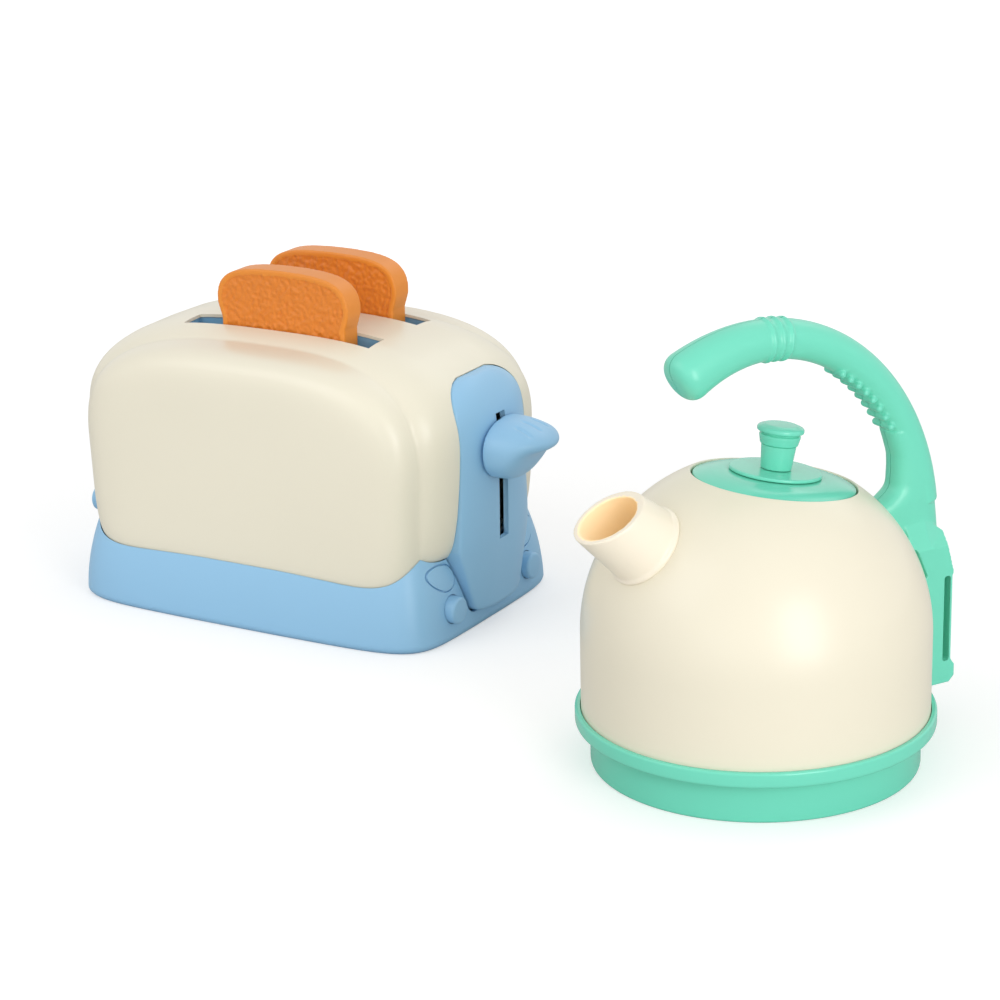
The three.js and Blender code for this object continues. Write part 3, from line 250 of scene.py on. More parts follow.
def combined(obj, tools, operation):
    for tool in tools:
        step = obj.modifiers.new("step", "BOOLEAN")
        step.operation, step.solver, step.object = operation, "MANIFOLD", tool
    applied(obj)
    for tool in tools:
        mesh = tool.data
        bpy.data.objects.remove(tool)
        bpy.data.meshes.remove(mesh)
    return obj


def joined(obj, *others):
    return combined(obj, others, "UNION")


def cut(obj, *tools):
    return combined(obj, tools, "DIFFERENCE")


def kept(obj, *tools):
    return combined(obj, tools, "INTERSECT")


def melted(obj, voxel, passes=3, keep=1.0):
    """Even small faces all over, with every edge softened by the smoothing passes."""
    remesh = obj.modifiers.new("remesh", "REMESH")
    remesh.mode = "VOXEL"
    remesh.voxel_size = voxel * 1
    if passes:
        smooth = obj.modifiers.new("smooth", "SMOOTH")
        smooth.factor, smooth.iterations = 0.5, passes
    if keep < 1:
        fewer = obj.modifiers.new("fewer", "DECIMATE")
        fewer.ratio = keep
    return applied(obj)


def numbers(items, key, width=3, kind=float):
    """One value of each of a mesh's items, as an array."""
    out = np.empty(len(items) * width, kind)
    items.foreach_get(key, out)
    return out.reshape(-1, width) if width > 1 else out


def points_of(obj):
    return numbers(obj.data.vertices, "co")


def set_points(obj, points):
    obj.data.vertices.foreach_set("co", np.asarray(points, float).ravel())
    obj.data.update()


def normals_of(obj):
    return numbers(obj.data.vertex_normals, "vector")


class Smooth:
    """Remembers a smooth form, so that a cut mesh can take its shading where the two agree."""

    def __init__(self, obj):
        self.normals = normals_of(obj)
        self.points = [Vector(p) for p in points_of(obj)]
        obj.data.calc_loop_triangles()
        self.faces = [tuple(t.vertices) for t in obj.data.loop_triangles]
        self.tree = BVHTree.FromPolygons(self.points, self.faces)

    def normal(self, point, reach):
        """The form's normal beside a point, or None where the form is further off than the reach."""
        place, _, index, _ = self.tree.find_nearest(point, reach)
        if place is None:
            return None
        corners = self.faces[index]
        weights = geometry.barycentric_transform(place, *(self.points[i] for i in corners),
                                                 Vector((1, 0, 0)), Vector((0, 1, 0)), Vector((0, 0, 1)))
        total = sum(w * self.normals[i] for w, i in zip(weights, corners))
        length = np.linalg.norm(total)
        return total / length if length > 1e-6 else None


def reshaded(obj, smooth, matrix, reach=0.06, limit=40):
    """Gives a placed mesh the smooth form's normals on every face that follows the form."""
    mesh = obj.data
    back = matrix.inverted()
    turn = np.array(matrix.to_3x3().normalized())
    found = np.zeros((len(mesh.vertices), 3))
    for i, vertex in enumerate(mesh.vertices):
        normal = smooth.normal(back @ vertex.co, reach)
        if normal is not None:
            found[i] = turn @ normal
    corners = numbers(mesh.corner_normals, "vector")
    sizes = numbers(mesh.polygons, "loop_total", 1, int)
    flat = np.repeat(numbers(mesh.polygons, "normal"), sizes, axis=0)
    wanted = found[numbers(mesh.loops, "vertex_index", 1, int)]
    follows = np.sum(wanted * flat, axis=1) > math.cos(math.radians(limit))
    corners[follows] = wanted[follows]
    mesh.normals_split_custom_set([tuple(n) for n in corners])
    return obj


def placed(obj, name, node, material, matrix=None, crease=35, smooth=None):
    """Moves a finished mesh to the frame, hangs it on its node's body and hides that node's own solid."""
    body = BODIES[node]
    matrix = matrix or (KETTLE if body in ("kettle", "lid") else TOASTER)
    obj.data.transform(matrix)
    obj.name = obj.data.name = name
    obj.data.shade_smooth()
    obj.data.set_sharp_from_angle(angle=math.radians(crease))
    obj.data.materials.clear()
    for one in material if isinstance(material, list) else [material]:
        obj.data.materials.append(one)
    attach(obj, body)
    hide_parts(node)
    if smooth:
        reshaded(obj, smooth, matrix)
    return obj


def angles(count):
    return np.linspace(0, 2 * np.pi, count, endpoint=False)


def spow(value, power):
    return np.sign(value) * np.abs(value) ** power


def eased(knots, values, at):
    """A smooth curve through a table's values."""
    knots, values = np.asarray(knots, float), np.asarray(values, float)
    steps = np.diff(values) / np.diff(knots)
    slopes = np.concatenate([steps[:1], (steps[1:] + steps[:-1]) / 2, steps[-1:]])
    slopes[1:-1][steps[1:] * steps[:-1] <= 0] = 0
    i = np.clip(np.searchsorted(knots, at, side="right") - 1, 0, len(knots) - 2)
    run = knots[i + 1] - knots[i]
    t = (at - knots[i]) / run
    a, b = values[i], values[i + 1]
    return (a * (1 + 2 * t) * (1 - t) ** 2 + b * t * t * (3 - 2 * t)
            + run * (slopes[i] * t * (1 - t) ** 2 - slopes[i + 1] * t * t * (1 - t)))


def resampled(ring, count):
    """A closed ring of 2-D points spaced evenly along its length."""
    ring = np.vstack([ring, ring[:1]])
    length = np.concatenate([[0], np.cumsum(np.linalg.norm(np.diff(ring, axis=0), axis=1))])
    at = np.linspace(0, length[-1], count, endpoint=False)
    return np.stack([np.interp(at, length, ring[:, 0]), np.interp(at, length, ring[:, 1])], axis=1)


def superellipse(half_u, half_v, power, count=64):
    t = 2 * np.pi * (np.arange(count) + 0.5) / count
    return np.stack([half_u * spow(np.cos(t), 2 / power), half_v * spow(np.sin(t), 2 / power)], axis=1)


# Materials

def linear(colour):
    """A colour of three values up to 255, as a shader takes it."""
    shares = [value / 255 for value in colour]
    return [c / 12.92 if c <= 0.04045 else ((c + 0.055) / 1.055) ** 2.4 for c in shares] + [1]


class Nodes:
    """A small helper for building a material's nodes."""

    def __init__(self, name):
        self.material = bpy.data.materials.new(name)
        self.material.use_nodes = True
        self.tree = self.material.node_tree
        self.shader = self.tree.nodes["Principled BSDF"]
        self.place = self.add("ShaderNodeTexCoord").outputs["Object"]

    def add(self, kind, **settings):
        node = self.tree.nodes.new(kind)
        for key, value in settings.items():
            setattr(node, key, value)
        return node

    def wire(self, source, target):
        self.tree.links.new(source, target)

    def feed(self, socket, source):
        """Leads a node's output to one of the shader's sockets."""
        self.wire(source, self.shader.inputs[socket])

    def noise(self, scale, detail=2.0):
        node = self.add("ShaderNodeTexNoise")
        node.inputs["Scale"].default_value = scale
        node.inputs["Detail"].default_value = detail
        self.wire(self.place, node.inputs["Vector"])
        return node.outputs["Fac"]

    def spread(self, source, low, high, start=0.3, end=0.7):
        node = self.add("ShaderNodeMapRange")
        self.wire(source, node.inputs["Value"])
        for socket, value in (("From Min", start), ("From Max", end), ("To Min", low), ("To Max", high)):
            node.inputs[socket].default_value = value
        return node.outputs["Result"]

    def between(self, factor, first, second):
        node = self.add("ShaderNodeMix", data_type="RGBA")
        self.wire(factor, node.inputs["Factor"])
        for socket in node.inputs:
            if socket.type == "RGBA":
                socket.default_value = first if socket.identifier.startswith("A") else second
        return [s for s in node.outputs if s.type == "RGBA"][0]

    def bump(self, source, distance, before=None):
        node = self.add("ShaderNodeBump")
        node.inputs["Strength"].default_value = 1
        node.inputs["Distance"].default_value = distance
        self.wire(source, node.inputs["Height"])
        if before:
            self.wire(before, node.inputs["Normal"])
        return node.outputs["Normal"]


def moulded(name, colour, roughness):
    """Moulded plastic: a faint cloudiness, slightly uneven gloss, a slight sink and a fine skin."""
    tint, uneven, sink_depth, grain_depth = 0.01, 0.02, 0.00002, 0.000004
    n = Nodes(name)
    base = linear(colour)
    warm = [min(c * (1 + tint), 1) for c in base[:3]] + [1]
    cool = [c * (1 - tint) for c in base[:3]] + [1]
    n.feed("Base Color", n.between(n.spread(n.noise(14, 1), 0, 1), cool, warm))
    n.feed("Roughness", n.spread(n.noise(60, 3), roughness - uneven, roughness + uneven))
    sink = n.bump(n.noise(30, 0), sink_depth)
    n.feed("Normal", n.bump(n.noise(900, 1), grain_depth, before=sink))
    n.shader.inputs["IOR"].default_value = 1.5
    return n.material


def painted_glow(material, colour, strength):
    """Adds a painted glow: a faint emission that stands in for the light that comes through thin plastic."""
    shader = material.node_tree.nodes["Principled BSDF"]
    shader.inputs["Emission Color"].default_value = linear(colour)
    shader.inputs["Emission Strength"].default_value = strength
    return material


def baked_toast(name, colour):
    """The slices' matt faces: an even colour with a fine skin over the modelled pebbles."""
    n = Nodes(name)
    deep, light = [c * 0.97 for c in linear(colour)[:3]] + [1], linear(colour)
    n.feed("Base Color", n.between(n.spread(n.noise(60, 2), 0, 1), deep, light))
    n.feed("Roughness", n.spread(n.noise(240, 3), 0.42, 0.52))
    n.feed("Normal", n.bump(n.noise(560, 1), 0.00025))
    return n.material


def brushed_steel(name):
    n = Nodes(name)
    dark, bright = linear((170, 173, 178)), linear((205, 207, 210))
    n.feed("Base Color", n.between(n.noise(400, 3), dark, bright))
    n.feed("Roughness", n.spread(n.noise(700, 3), 0.3, 0.4))
    n.feed("Normal", n.bump(n.noise(1500, 2), 0.00002))
    n.shader.inputs["Metallic"].default_value = 1
    return n.material


TOASTER_CREAM = moulded("cream_gloss", (237, 231, 211), 0.31)
POT_CREAM = moulded("pot_cream_gloss", (233, 226, 205), 0.31)
SPOUT_CREAM = moulded("spout_cream_satin", (245, 235, 215), 0.33)
# Painted light: the inside's brighter, warmer colour and its emission stand in for light shining through the
# spout's thin plastic.
SPOUT_INSIDE_PAINTED_GLOW = painted_glow(moulded("spout_inside_painted_glow", (255, 234, 196), 0.5), (255, 205, 140), 0.16)
BLUE = moulded("blue_satin", (150, 199, 233), 0.36)
WELL_BLUE = moulded("well_blue_satin", (132, 186, 222), 0.4)
GREEN = moulded("green_gloss", (112, 215, 188), 0.2)
GRIP_GREEN = moulded("grip_green_satin", (113, 217, 189), 0.31)
TOAST = moulded("toast_orange_satin", (230, 140, 46), 0.42)
TOAST_FACE = baked_toast("toast_orange_pebbled", (224, 129, 38))
STEEL = brushed_steel("steel_wire")


# The toaster's forms

def soft_block(name, size, grow=0.0, ring=144, sections=57):
    """A soft block whose sections across Y shrink towards its front and back faces."""
    rings = []
    for t in np.radians(np.linspace(-87.5, 87.5, sections)):
        wide = spow(np.sin(t), 2 / size["plan"])
        powers = [size[key] for key in ("plan", "crown", "sill")]
        plan, upper, lower = ((1 - abs(wide) ** power) ** (1 / power) for power in powers)
        a = 2 * np.pi * (np.arange(ring) + 0.5) / ring
        c, s = np.cos(a), np.sin(a)
        power = np.where(s > 0, size["upper"], size["lower"])
        reach = np.where(s > 0, size["top"] - size["middle"], size["middle"] - size["bottom"])
        lift = spow(s, 2 / power) * np.where(s > 0, upper, lower)
        narrow = np.where(s < 0, 1 - size["taper"] * lift ** 2, 1)
        x = (size["length"] + grow) * spow(c, 2 / power) * plan * narrow
        z = size["middle"] + (reach + grow) * lift
        rings.append(np.stack([x, np.full(ring, (size["width"] + grow) * wide), z], axis=1))
    face = size["width"] + grow
    return loft(name, rings, [(0, -face, size["middle"]), (0, face, size["middle"])])


def shell_form(grow=0.0, ring=144, sections=57):
    cheek = soft_block("cheek", CHEEK, grow, ring, sections)
    return joined(cheek, soft_block("core", CORE, grow, ring, sections))


def plan_ring(half_length, half_width, count=240):
    """A rounded rectangle whose sides bow out a little, its points spaced evenly."""
    power, fine, end_bow, side_bow = 8, 1440, 0.015, 0.03
    ring = superellipse(half_length, half_width, power, fine)
    ring = np.stack([ring[:, 0] * (1 - end_bow * (ring[:, 1] / half_width) ** 2),
                     ring[:, 1] * (1 - side_bow * (ring[:, 0] / half_length) ** 2)], axis=1)
    return resampled(ring, count)


def plan_block(half_length, half_width, z0, z1, count=96):
    ring = plan_ring(half_length, half_width, count)
    return loft("plan", [np.column_stack([ring, np.full(len(ring), z)]) for z in (z0, z1)])


def base_inset(z):
    """How far the base's outside leans in at a height, with its lower edge rounded."""
    edge = BASE_EDGE * (1 - z / BASE_EDGE_HEIGHT) ** 2 if z < BASE_EDGE_HEIGHT else 0
    return edge + BASE_FLARE * (max(z, 0) / BASE_HEIGHT) ** 2


def base_form(inward, z0, z1, count=240, levels=26):
    rings = []
    for share in np.linspace(0, 1, levels) ** 1.35:
        z = z0 + share * (z1 - z0)
        inset = inward + base_inset(z)
        ring = plan_ring(BASE_LENGTH - inset, BASE_WIDTH - inset, count)
        rings.append(np.column_stack([ring, np.full(len(ring), z)]))
    return loft("base_form", rings)


def panel_half_width(z):
    """Half the panel's width at a height: wide low down, a slight neck, and a round crown."""
    above = max(z - PANEL_BOTTOM, 0)
    if z < PANEL_WIDE_LEVEL:
        left = max(PANEL_CORNER - above, 0)
        spread = (PANEL_WIDE_HALF - PANEL_FOOT_HALF) * above / (PANEL_WIDE_LEVEL - PANEL_BOTTOM)
        return PANEL_FOOT_HALF + spread - PANEL_CORNER + math.sqrt(PANEL_CORNER ** 2 - left ** 2)
    if z < PANEL_NECK_LEVEL:
        t = (z - PANEL_WIDE_LEVEL) / (PANEL_NECK_LEVEL - PANEL_WIDE_LEVEL)
        return PANEL_WIDE_HALF + (PANEL_NECK_HALF - PANEL_WIDE_HALF) * t * t * (3 - 2 * t)
    power = 2.65
    up = min(max((z - PANEL_CROWN_LEVEL) / (PANEL_TOP - PANEL_CROWN_LEVEL), 0), 1)
    return PANEL_NECK_HALF * (1 - up ** power) ** (1 / power)


def panel_face(z):
    """How far out the panel's face lies at a height: furthest at the bend, and in above and below it."""
    foot_in, crown_in = 1.3, 12
    if z < PANEL_BEND_LEVEL:
        return PANEL_FACE - foot_in * ((PANEL_BEND_LEVEL - z) / (PANEL_BEND_LEVEL - PANEL_BOTTOM)) ** 2
    return PANEL_FACE - crown_in * ((z - PANEL_BEND_LEVEL) / (PANEL_TOP - PANEL_BEND_LEVEL)) ** 4.5


def panel_form(grow=0.0, back=PANEL_BACK, levels=56, across=36):
    foot_wrap, wide_wrap = 3, 5
    low, high = 0.04 * (1 - np.cos(np.linspace(0, 1.57, 10))), 1 - 0.18 * np.cos(np.linspace(0.05, 1.53, 22))
    rings = []
    for share in np.concatenate([low, np.linspace(0.05, 0.81, levels), high]):
        z = PANEL_BOTTOM + share * (PANEL_TOP - PANEL_BOTTOM)
        half = panel_half_width(z) + grow
        height = z + (share - 0.5) * 2 * grow
        up = min(max((z - PANEL_BOTTOM) / (PANEL_WIDE_LEVEL - PANEL_BOTTOM), 0), 1)
        wrap = foot_wrap + (wide_wrap - foot_wrap) * up
        ring = [(back - grow, -half, height), (back - grow, half, height)]
        for u in np.linspace(1, -1, across + 1):
            ring.append((panel_face(z) + grow - wrap * abs(u) ** 3, u * half, height))
        rings.append(np.array(ring))
    return loft("panel_form", rings)


def far_end(obj):
    """Turns a form of the lever end into the lower one of the far end."""
    obj.data.transform(Matrix.Diagonal((-1, 1, 0.8, 1)))
    tidy_mesh(obj.data)
    return obj


def panel_holes(grow):
    return [panel_form(grow), far_end(panel_form(grow))]


def slot_cuts(grow=0.0):
    half, bottom, top = SLOT_WIDTH / 2 + grow, 80, 134
    middles = [side * SLOT_SPACING / 2 for side in (-1, 1)]
    return [block(SLOT_LEFT - grow, SLOT_RIGHT + grow, y - half, y + half, bottom, top) for y in middles]


def button_cuts(radius):
    inner, outer = 69, 104
    return [bar((inner, y, KNOB_LEVEL), (outer, y, KNOB_LEVEL), radius, 48) for y in (-KNOB_SIDE, KNOB_SIDE)]


COLUMNS = [(sx * COLUMN_OUT, sy * COLUMN_SIDE) for sx in (-1, 1) for sy in (-1, 1)]


# The toaster's pieces

def shell_room(inward):
    """The room inside the shell and its skirt, open at the bottom."""
    skirt_top = 57
    skirt = plan_block(SKIRT_LENGTH - inward, SKIRT_WIDTH - inward, -OVER, skirt_top)
    return joined(shell_form(-inward, 96, 33), skirt)


def toaster_shell():
    skirt_bottom, skirt_top, lip_skin, lip_width, post_sink = 7.4, 60, 1.2, 2.3, 0.4
    outer = melted(shell_form(), 0.8, 5, 0.6)
    skin = Smooth(outer)
    cut(outer, *slot_cuts())
    joined(outer, plan_block(SKIRT_LENGTH, SKIRT_WIDTH, skirt_bottom, skirt_top))
    cut(outer, shell_room(WALL))
    cut(outer, *[kept(lip, shell_form(-lip_skin, 96, 33)) for lip in slot_cuts(lip_width)])
    cut(outer, *panel_holes(GAP), *button_cuts(7.8))
    posts = [bar((x, y, COVER_TOP), (x, y, 110), COLUMN_RADIUS) for x, y in COLUMNS]
    joined(outer, kept(joined(*posts), shell_room(WALL - post_sink)))
    cut(outer, *[bar((x, y, 0), (x, y, 17.5), SCREW_HOLE, 20) for x, y in COLUMNS])
    placed(outer, "shell_skin", "toaster_shell", TOASTER_CREAM, smooth=skin)


def drop_prism(side, grow):
    """The badge's outline, pointed towards the front, as a bar along X."""
    taper, inner, outer = 0.22, 80, 110
    c, s = math.cos(math.radians(-17)), math.sin(math.radians(-17))
    points = []
    for t in angles(72):
        u, v = math.cos(t), math.sin(t)
        along, across = (BADGE_HALF_LENGTH + grow) * u, (BADGE_HALF_WIDTH + grow) * v * (1 + taper * u)
        points.append((0, side * (BADGE_OUT - along * c + across * s), BADGE_LEVEL + along * s + across * c))
    return loft("drop", [np.array(points) + np.array([x, 0, 0]) for x in (inner, outer)])


def toaster_base():
    ledge_top, ledge_reach = 7.1, 14
    badge_gap, badge_groove, badge_height, badge_root = 0.9, 0.9, 0.35, 1.6
    outer = base_form(0, 0, BASE_HEIGHT)
    skin = Smooth(outer)
    foot_length, foot_width = BASE_LENGTH - BASE_EDGE, BASE_WIDTH - BASE_EDGE
    opening = plan_block(foot_length - WALL, foot_width - WALL, -OVER, OVER)
    wall = cut(outer, joined(base_form(WALL, 0, BASE_HEIGHT + OVER, 120, 12), opening))
    window = plan_block(BASE_LENGTH - ledge_reach, BASE_WIDTH - ledge_reach, 0, ledge_top + OVER)
    ledge = cut(plan_block(foot_length, foot_width, COVER_TOP, ledge_top), window)
    joined(wall, kept(ledge, base_form(WALL / 2, 0, BASE_HEIGHT, 120, 12)))
    for side in (-1, 1):
        cut(wall, cut(drop_prism(side, badge_gap), base_form(badge_groove, 0, BASE_HEIGHT)))
        inside = base_form(badge_root, -1, BASE_HEIGHT + 10, 120, 12)
        rind = cut(base_form(-badge_height, 0, BASE_HEIGHT), inside)
        joined(wall, kept(drop_prism(side, 0), rind))
    cut(wall, shell_form(GAP, 144, 49), *panel_holes(0.9), *button_cuts(6.6))
    placed(wall, "base_skin", "toaster_base", BLUE, smooth=skin)


def end_panel(name, node, slotted):
    slot_half, slot_bottom, slot_top = 3.9, 40, 98.5
    outer = melted(panel_form(), 0.8, 6, 0.7)
    if slotted:
        cut(outer, block(PANEL_BACK - OVER, 134, -slot_half, slot_half, slot_bottom, slot_top))
    else:
        far_end(outer)
    skin = Smooth(outer)
    hollow = panel_form(-WALL, PANEL_BACK - OVER, 32, 16)
    cut(outer, hollow if slotted else far_end(hollow))
    if not slotted:
        joined_bosses(outer)
    placed(outer, name, node, BLUE, smooth=skin)


def joined_bosses(panel):
    """Adds the far end's two round bosses."""
    start, side_out, level, length = -93.3, 22, 34.5, 15.2
    out = turning(-90, "Y")
    profile = rounded([(0, 0), (KNOB_RADIUS, 0), (KNOB_RADIUS, length, 1.6), (0, length)])
    for side in (-1, 1):
        joined(panel, turned("boss", profile, 64, at(start, side * side_out, level) @ out))


# Out along the paddle: the way out, its half-width, and the levels of its top, crease and bottom
PADDLE_SHARES = np.array([
    [0, 1, 0.861, 0, -1], [0.12, 0.998, 0.859, -0.008, -1], [0.26, 0.983, 0.847, -0.018, -0.982],
    [0.4, 0.95, 0.819, -0.014, -0.889], [0.53, 0.896, 0.773, 0.042, -0.616],
    [0.65, 0.818, 0.711, 0.142, -0.274], [0.76, 0.715, 0.629, 0.205, -0.089],
    [0.86, 0.573, 0.521, 0.222, -0.005], [0.94, 0.394, 0.396, 0.215, 0.062],
    [0.985, 0.204, 0.285, 0.205, 0.131], [1, 0.06, 0.212, 0.2, 0.189]])

# The paddle's veins: places across at their near and far end, and the shares of the way out there
PADDLE_VEINS = [(-7.8, -9.4, 0.38, 0.8), (-1.2, -1.6, 0.36, 0.82), (5.6, 6.2, 0.38, 0.8)]


def lever_paddle():
    count, vein_width, vein_depth, fade = 96, 0.8, 0.7, 0.08
    rings = []
    for share in np.sin(np.linspace(0, math.pi / 2, 60)):
        row = [eased(PADDLE_SHARES[:, 0], PADDLE_SHARES[:, i], share) for i in (1, 2, 3, 4)]
        wide, top, crease, bottom = row
        t = angles(count)
        y, rise = spow(np.cos(t), 2 / 2.2), spow(np.sin(t), 2 / 2.2)
        level = crease + np.abs(rise) * (np.where(rise > 0, top, bottom) - crease)
        x = np.full(count, PADDLE_START + share * (PADDLE_TIP - PADDLE_START))
        z = PADDLE_LEVEL + PADDLE_HALF_HEIGHT * level
        rings.append(np.column_stack([x, PADDLE_HALF_WIDTH * wide * y, z]))
    outer = melted(loft("paddle", rings), 0.5, 3)
    points, normals = points_of(outer), normals_of(outer)
    share = (points[:, 0] - PADDLE_START) / (PADDLE_TIP - PADDLE_START)
    top = np.clip((normals[:, 2] - 0.15) / 0.3, 0, 1)
    depth = np.zeros(len(points))
    for near, far, start, end in PADDLE_VEINS:
        along = np.clip((share - start) / fade, 0, 1) * np.clip((end - share) / fade, 0, 1)
        middle = near + (far - near) * np.clip((share - start) / (end - start), 0, 1)
        depth = np.maximum(depth, along * np.exp(-((points[:, 1] - middle) / vein_width) ** 2))
    set_points(outer, points - normals * (vein_depth * depth * top)[:, None])
    skin = Smooth(outer)
    cut(outer, block(79, PADDLE_START + 6.3, -2.1, 2.1, 76.2, 91.8))
    placed(outer, "paddle_skin", "lever_paddle", BLUE, smooth=skin)


def push_knob(side, name):
    flange, length, start = 7.2, 17.4, 82
    profile = rounded([(0, 0), (flange, 0, 0.3), (flange, 1.5, 0.3), (KNOB_RADIUS, 1.5),
                       (KNOB_RADIUS, length, 1.6), (0, length + 0.2)])
    out = turning(90, "Y")
    knob = turned("knob", profile, 96, at(start, side * KNOB_SIDE, KNOB_LEVEL) @ out)
    return placed(knob, f"push_button_{name}", f"push_knob_{name}", BLUE)


SLICE_SHARES = [(0.97, 0.12), (1, 0.3), (0.995, 0.48), (0.95, 0.66), (0.86, 0.8), (0.72, 0.9),
                (0.5, 0.965), (0.25, 0.992)]


def slice_outline():
    """The outline of a slice of toast, in (x, z): straight sides below two lobes."""
    neck, depth = SLICE_HALF_NECK, SLICE_TOP - SLICE_CROWN
    lobe = [(u * SLICE_HALF_WIDTH, SLICE_CROWN + v * depth) for u, v in SLICE_SHARES]
    right = [(neck, SLICE_CROWN)] + lobe + [(0, SLICE_TOP)]
    knots = np.concatenate([[0], np.cumsum(np.linalg.norm(np.diff(right, axis=0), axis=1))])
    at = np.linspace(0, knots[-1], 60)
    arc = np.stack([eased(knots, [p[i] for p in right], at) for i in (0, 1)], axis=1)
    low = TRAY_TOP + GAP
    bottom = rounded([(neck, SLICE_CROWN), (-neck, SLICE_CROWN), (-neck, low, 2), (neck, low, 2)])[1:]
    mirror = [(-x, z) for x, z in arc[::-1][1:]]
    return bottom + [tuple(p) for p in arc] + mirror


def outline_depth(points, outline):
    """How far inside a closed outline each point is."""
    ring = np.array(outline)
    start, end = ring, np.roll(ring, -1, axis=0)
    side = end - start
    best = np.full(len(points), 1e9)
    for s, d in zip(start, side):
        length = max(d @ d, 1e-9)
        t = np.clip(((points - s) @ d) / length, 0, 1)
        best = np.minimum(best, np.linalg.norm(points - (s + t[:, None] * d), axis=1))
    return best


def toast_slice(side, name):
    outline = slice_outline()
    obj = melted(slab("slice", outline, -SLICE_HALF_THICKNESS, SLICE_HALF_THICKNESS), 0.6, 3)
    points, normals = points_of(obj), normals_of(obj)
    depth = outline_depth(points[:, [0, 2]], outline)
    face = np.clip((np.abs(normals[:, 1]) - 0.8) / 0.15, 0, 1) * np.clip((depth - 2.2) / 0.7, 0, 1)
    seed = 40 * side
    bumps = np.array([
        noise.noise(Vector((p[0] / 1.5, seed + p[1] / 9, p[2] / 1.9))) * 0.75
        + noise.noise(Vector((p[0] / 0.9, seed - p[1] / 9, p[2] / 1.1))) * 0.25
        for p in points])
    drop = face * (0.42 - bumps)
    set_points(obj, points - normals * np.clip(drop, -0.1, 0.95)[:, None])
    move = at(5, side * SLOT_SPACING / 2, 0)
    paints = [TOAST, TOAST_FACE]
    placed(obj, f"slice_{name}_skin", f"toast_slice_{name}", paints, TOASTER @ move, 80)
    obj.data.polygons.foreach_set("material_index", face_index(obj, face))
    return obj


def face_index(obj, share):
    return [int(np.mean([share[v] for v in face.vertices]) > 0.5) for face in obj.data.polygons]


def bread_well(side, name):
    """The open box below a slot, with ribs along its upper sides."""
    wall, clearance, rib, skin = 1.6, 0.5, 0.8, 1.2
    middle, half = side * SLOT_SPACING / 2, SLOT_WIDTH / 2 + clearance
    x0, x1 = SLOT_LEFT - clearance, SLOT_RIGHT + clearance
    outer = block(x0 - wall, x1 + wall, middle - half - wall, middle + half + wall, COVER_TOP, 131)
    room = joined(shell_form(-skin - GAP, 96, 33), plan_block(SKIRT_LENGTH - WALL, SKIRT_WIDTH - WALL, 0, 60))
    kept(outer, room)
    hollow = block(x0, x1, middle - half, middle + half, 0, 134)
    slit = block(x1 - OVER, x1 + OVER, middle - 3.2, middle + 3.2, 49.5, 85.5)
    cut(outer, hollow, slit)
    ribs = []
    for s in (-1, 1):
        inner, root = middle + s * (half - rib - 0.05), middle + s * (half + rib)
        for z in np.arange(110.5, 123, 3):
            ribs.append(block(x0 - 1, x1 + 1, min(inner, root), max(inner, root), z, z + 1.2))
    joined(outer, *ribs)
    return placed(outer, f"well_{name}_skin", f"bread_well_{name}", WELL_BLUE)


def coil(name, start, end, radius, wire, turns, node):
    """A wire spring as a swept tube."""
    start, run = Vector(start), Vector(end) - Vector(start)
    turn = Vector((0, 0, 1)).rotation_difference(run).to_matrix()
    rings = []
    for i in range(turns * 20 + 1):
        share = i / (turns * 20)
        a = 2 * math.pi * turns * share
        height = wire + (run.length - 2 * wire) * share
        out = Vector((math.cos(a), math.sin(a), 0))
        ring = []
        for b in angles(8):
            p = out * (radius + wire * math.cos(b)) + Vector((0, 0, height + wire * math.sin(b)))
            ring.append(tuple(start + turn @ p))
        rings.append(np.array(ring))
    obj = placed(loft(name, rings), name, node, STEEL)
    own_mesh(obj)
    return obj


def springs():
    low, top, inner, outer = COVER_TOP, TRAY_TOP - TRAY_THICKNESS - GAP, 72.3, 81.7
    for side, name in ((-1, "front"), (1, "back")):
        coil(f"carriage_coil_{name}", (74, side * 9, low), (74, side * 9, top), 3.4, 0.7, 15,
             f"carriage_spring_{name}")
        start, end = ((x, side * KNOB_SIDE, KNOB_LEVEL) for x in (inner, outer))
        coil(f"knob_coil_{name}", start, end, 3.4, 0.5, 5,
             f"knob_spring_{name}")


# The kettle's forms

def pot_profile(grow, bottom, steps=48):
    radius = POT_RADIUS + grow
    profile = [(0, bottom), (radius, bottom)]
    profile += [(radius, z) for z in np.linspace(bottom + 3, POT_SHOULDER, 14)]
    for t in np.linspace(0, math.pi / 2, steps)[1:-1]:
        profile.append((radius * math.cos(t), POT_SHOULDER + radius * math.sin(t)))
    return profile + [(0, POT_SHOULDER + radius)]


def pot_form(grow, bottom, steps=48, sides=180):
    return turned("pot_form", pot_profile(grow, bottom, steps), sides)


LID_TILT = turning(8, "Y")
LID = at(0, 0, POT_SHOULDER) @ LID_TILT @ at(0, 0, LID_RISE)
SPOUT = at(0, 0, POT_SHOULDER) @ turning(SPOUT_RISE - 90, "Y")


def circle_place(radius, share):
    angle = 2 * math.pi * share
    return radius * math.cos(angle), radius * math.sin(angle)


SCREW_PLACES = [circle_place(STAND_BOSS_CIRCLE, (i + 0.5) / 3) for i in range(3)]


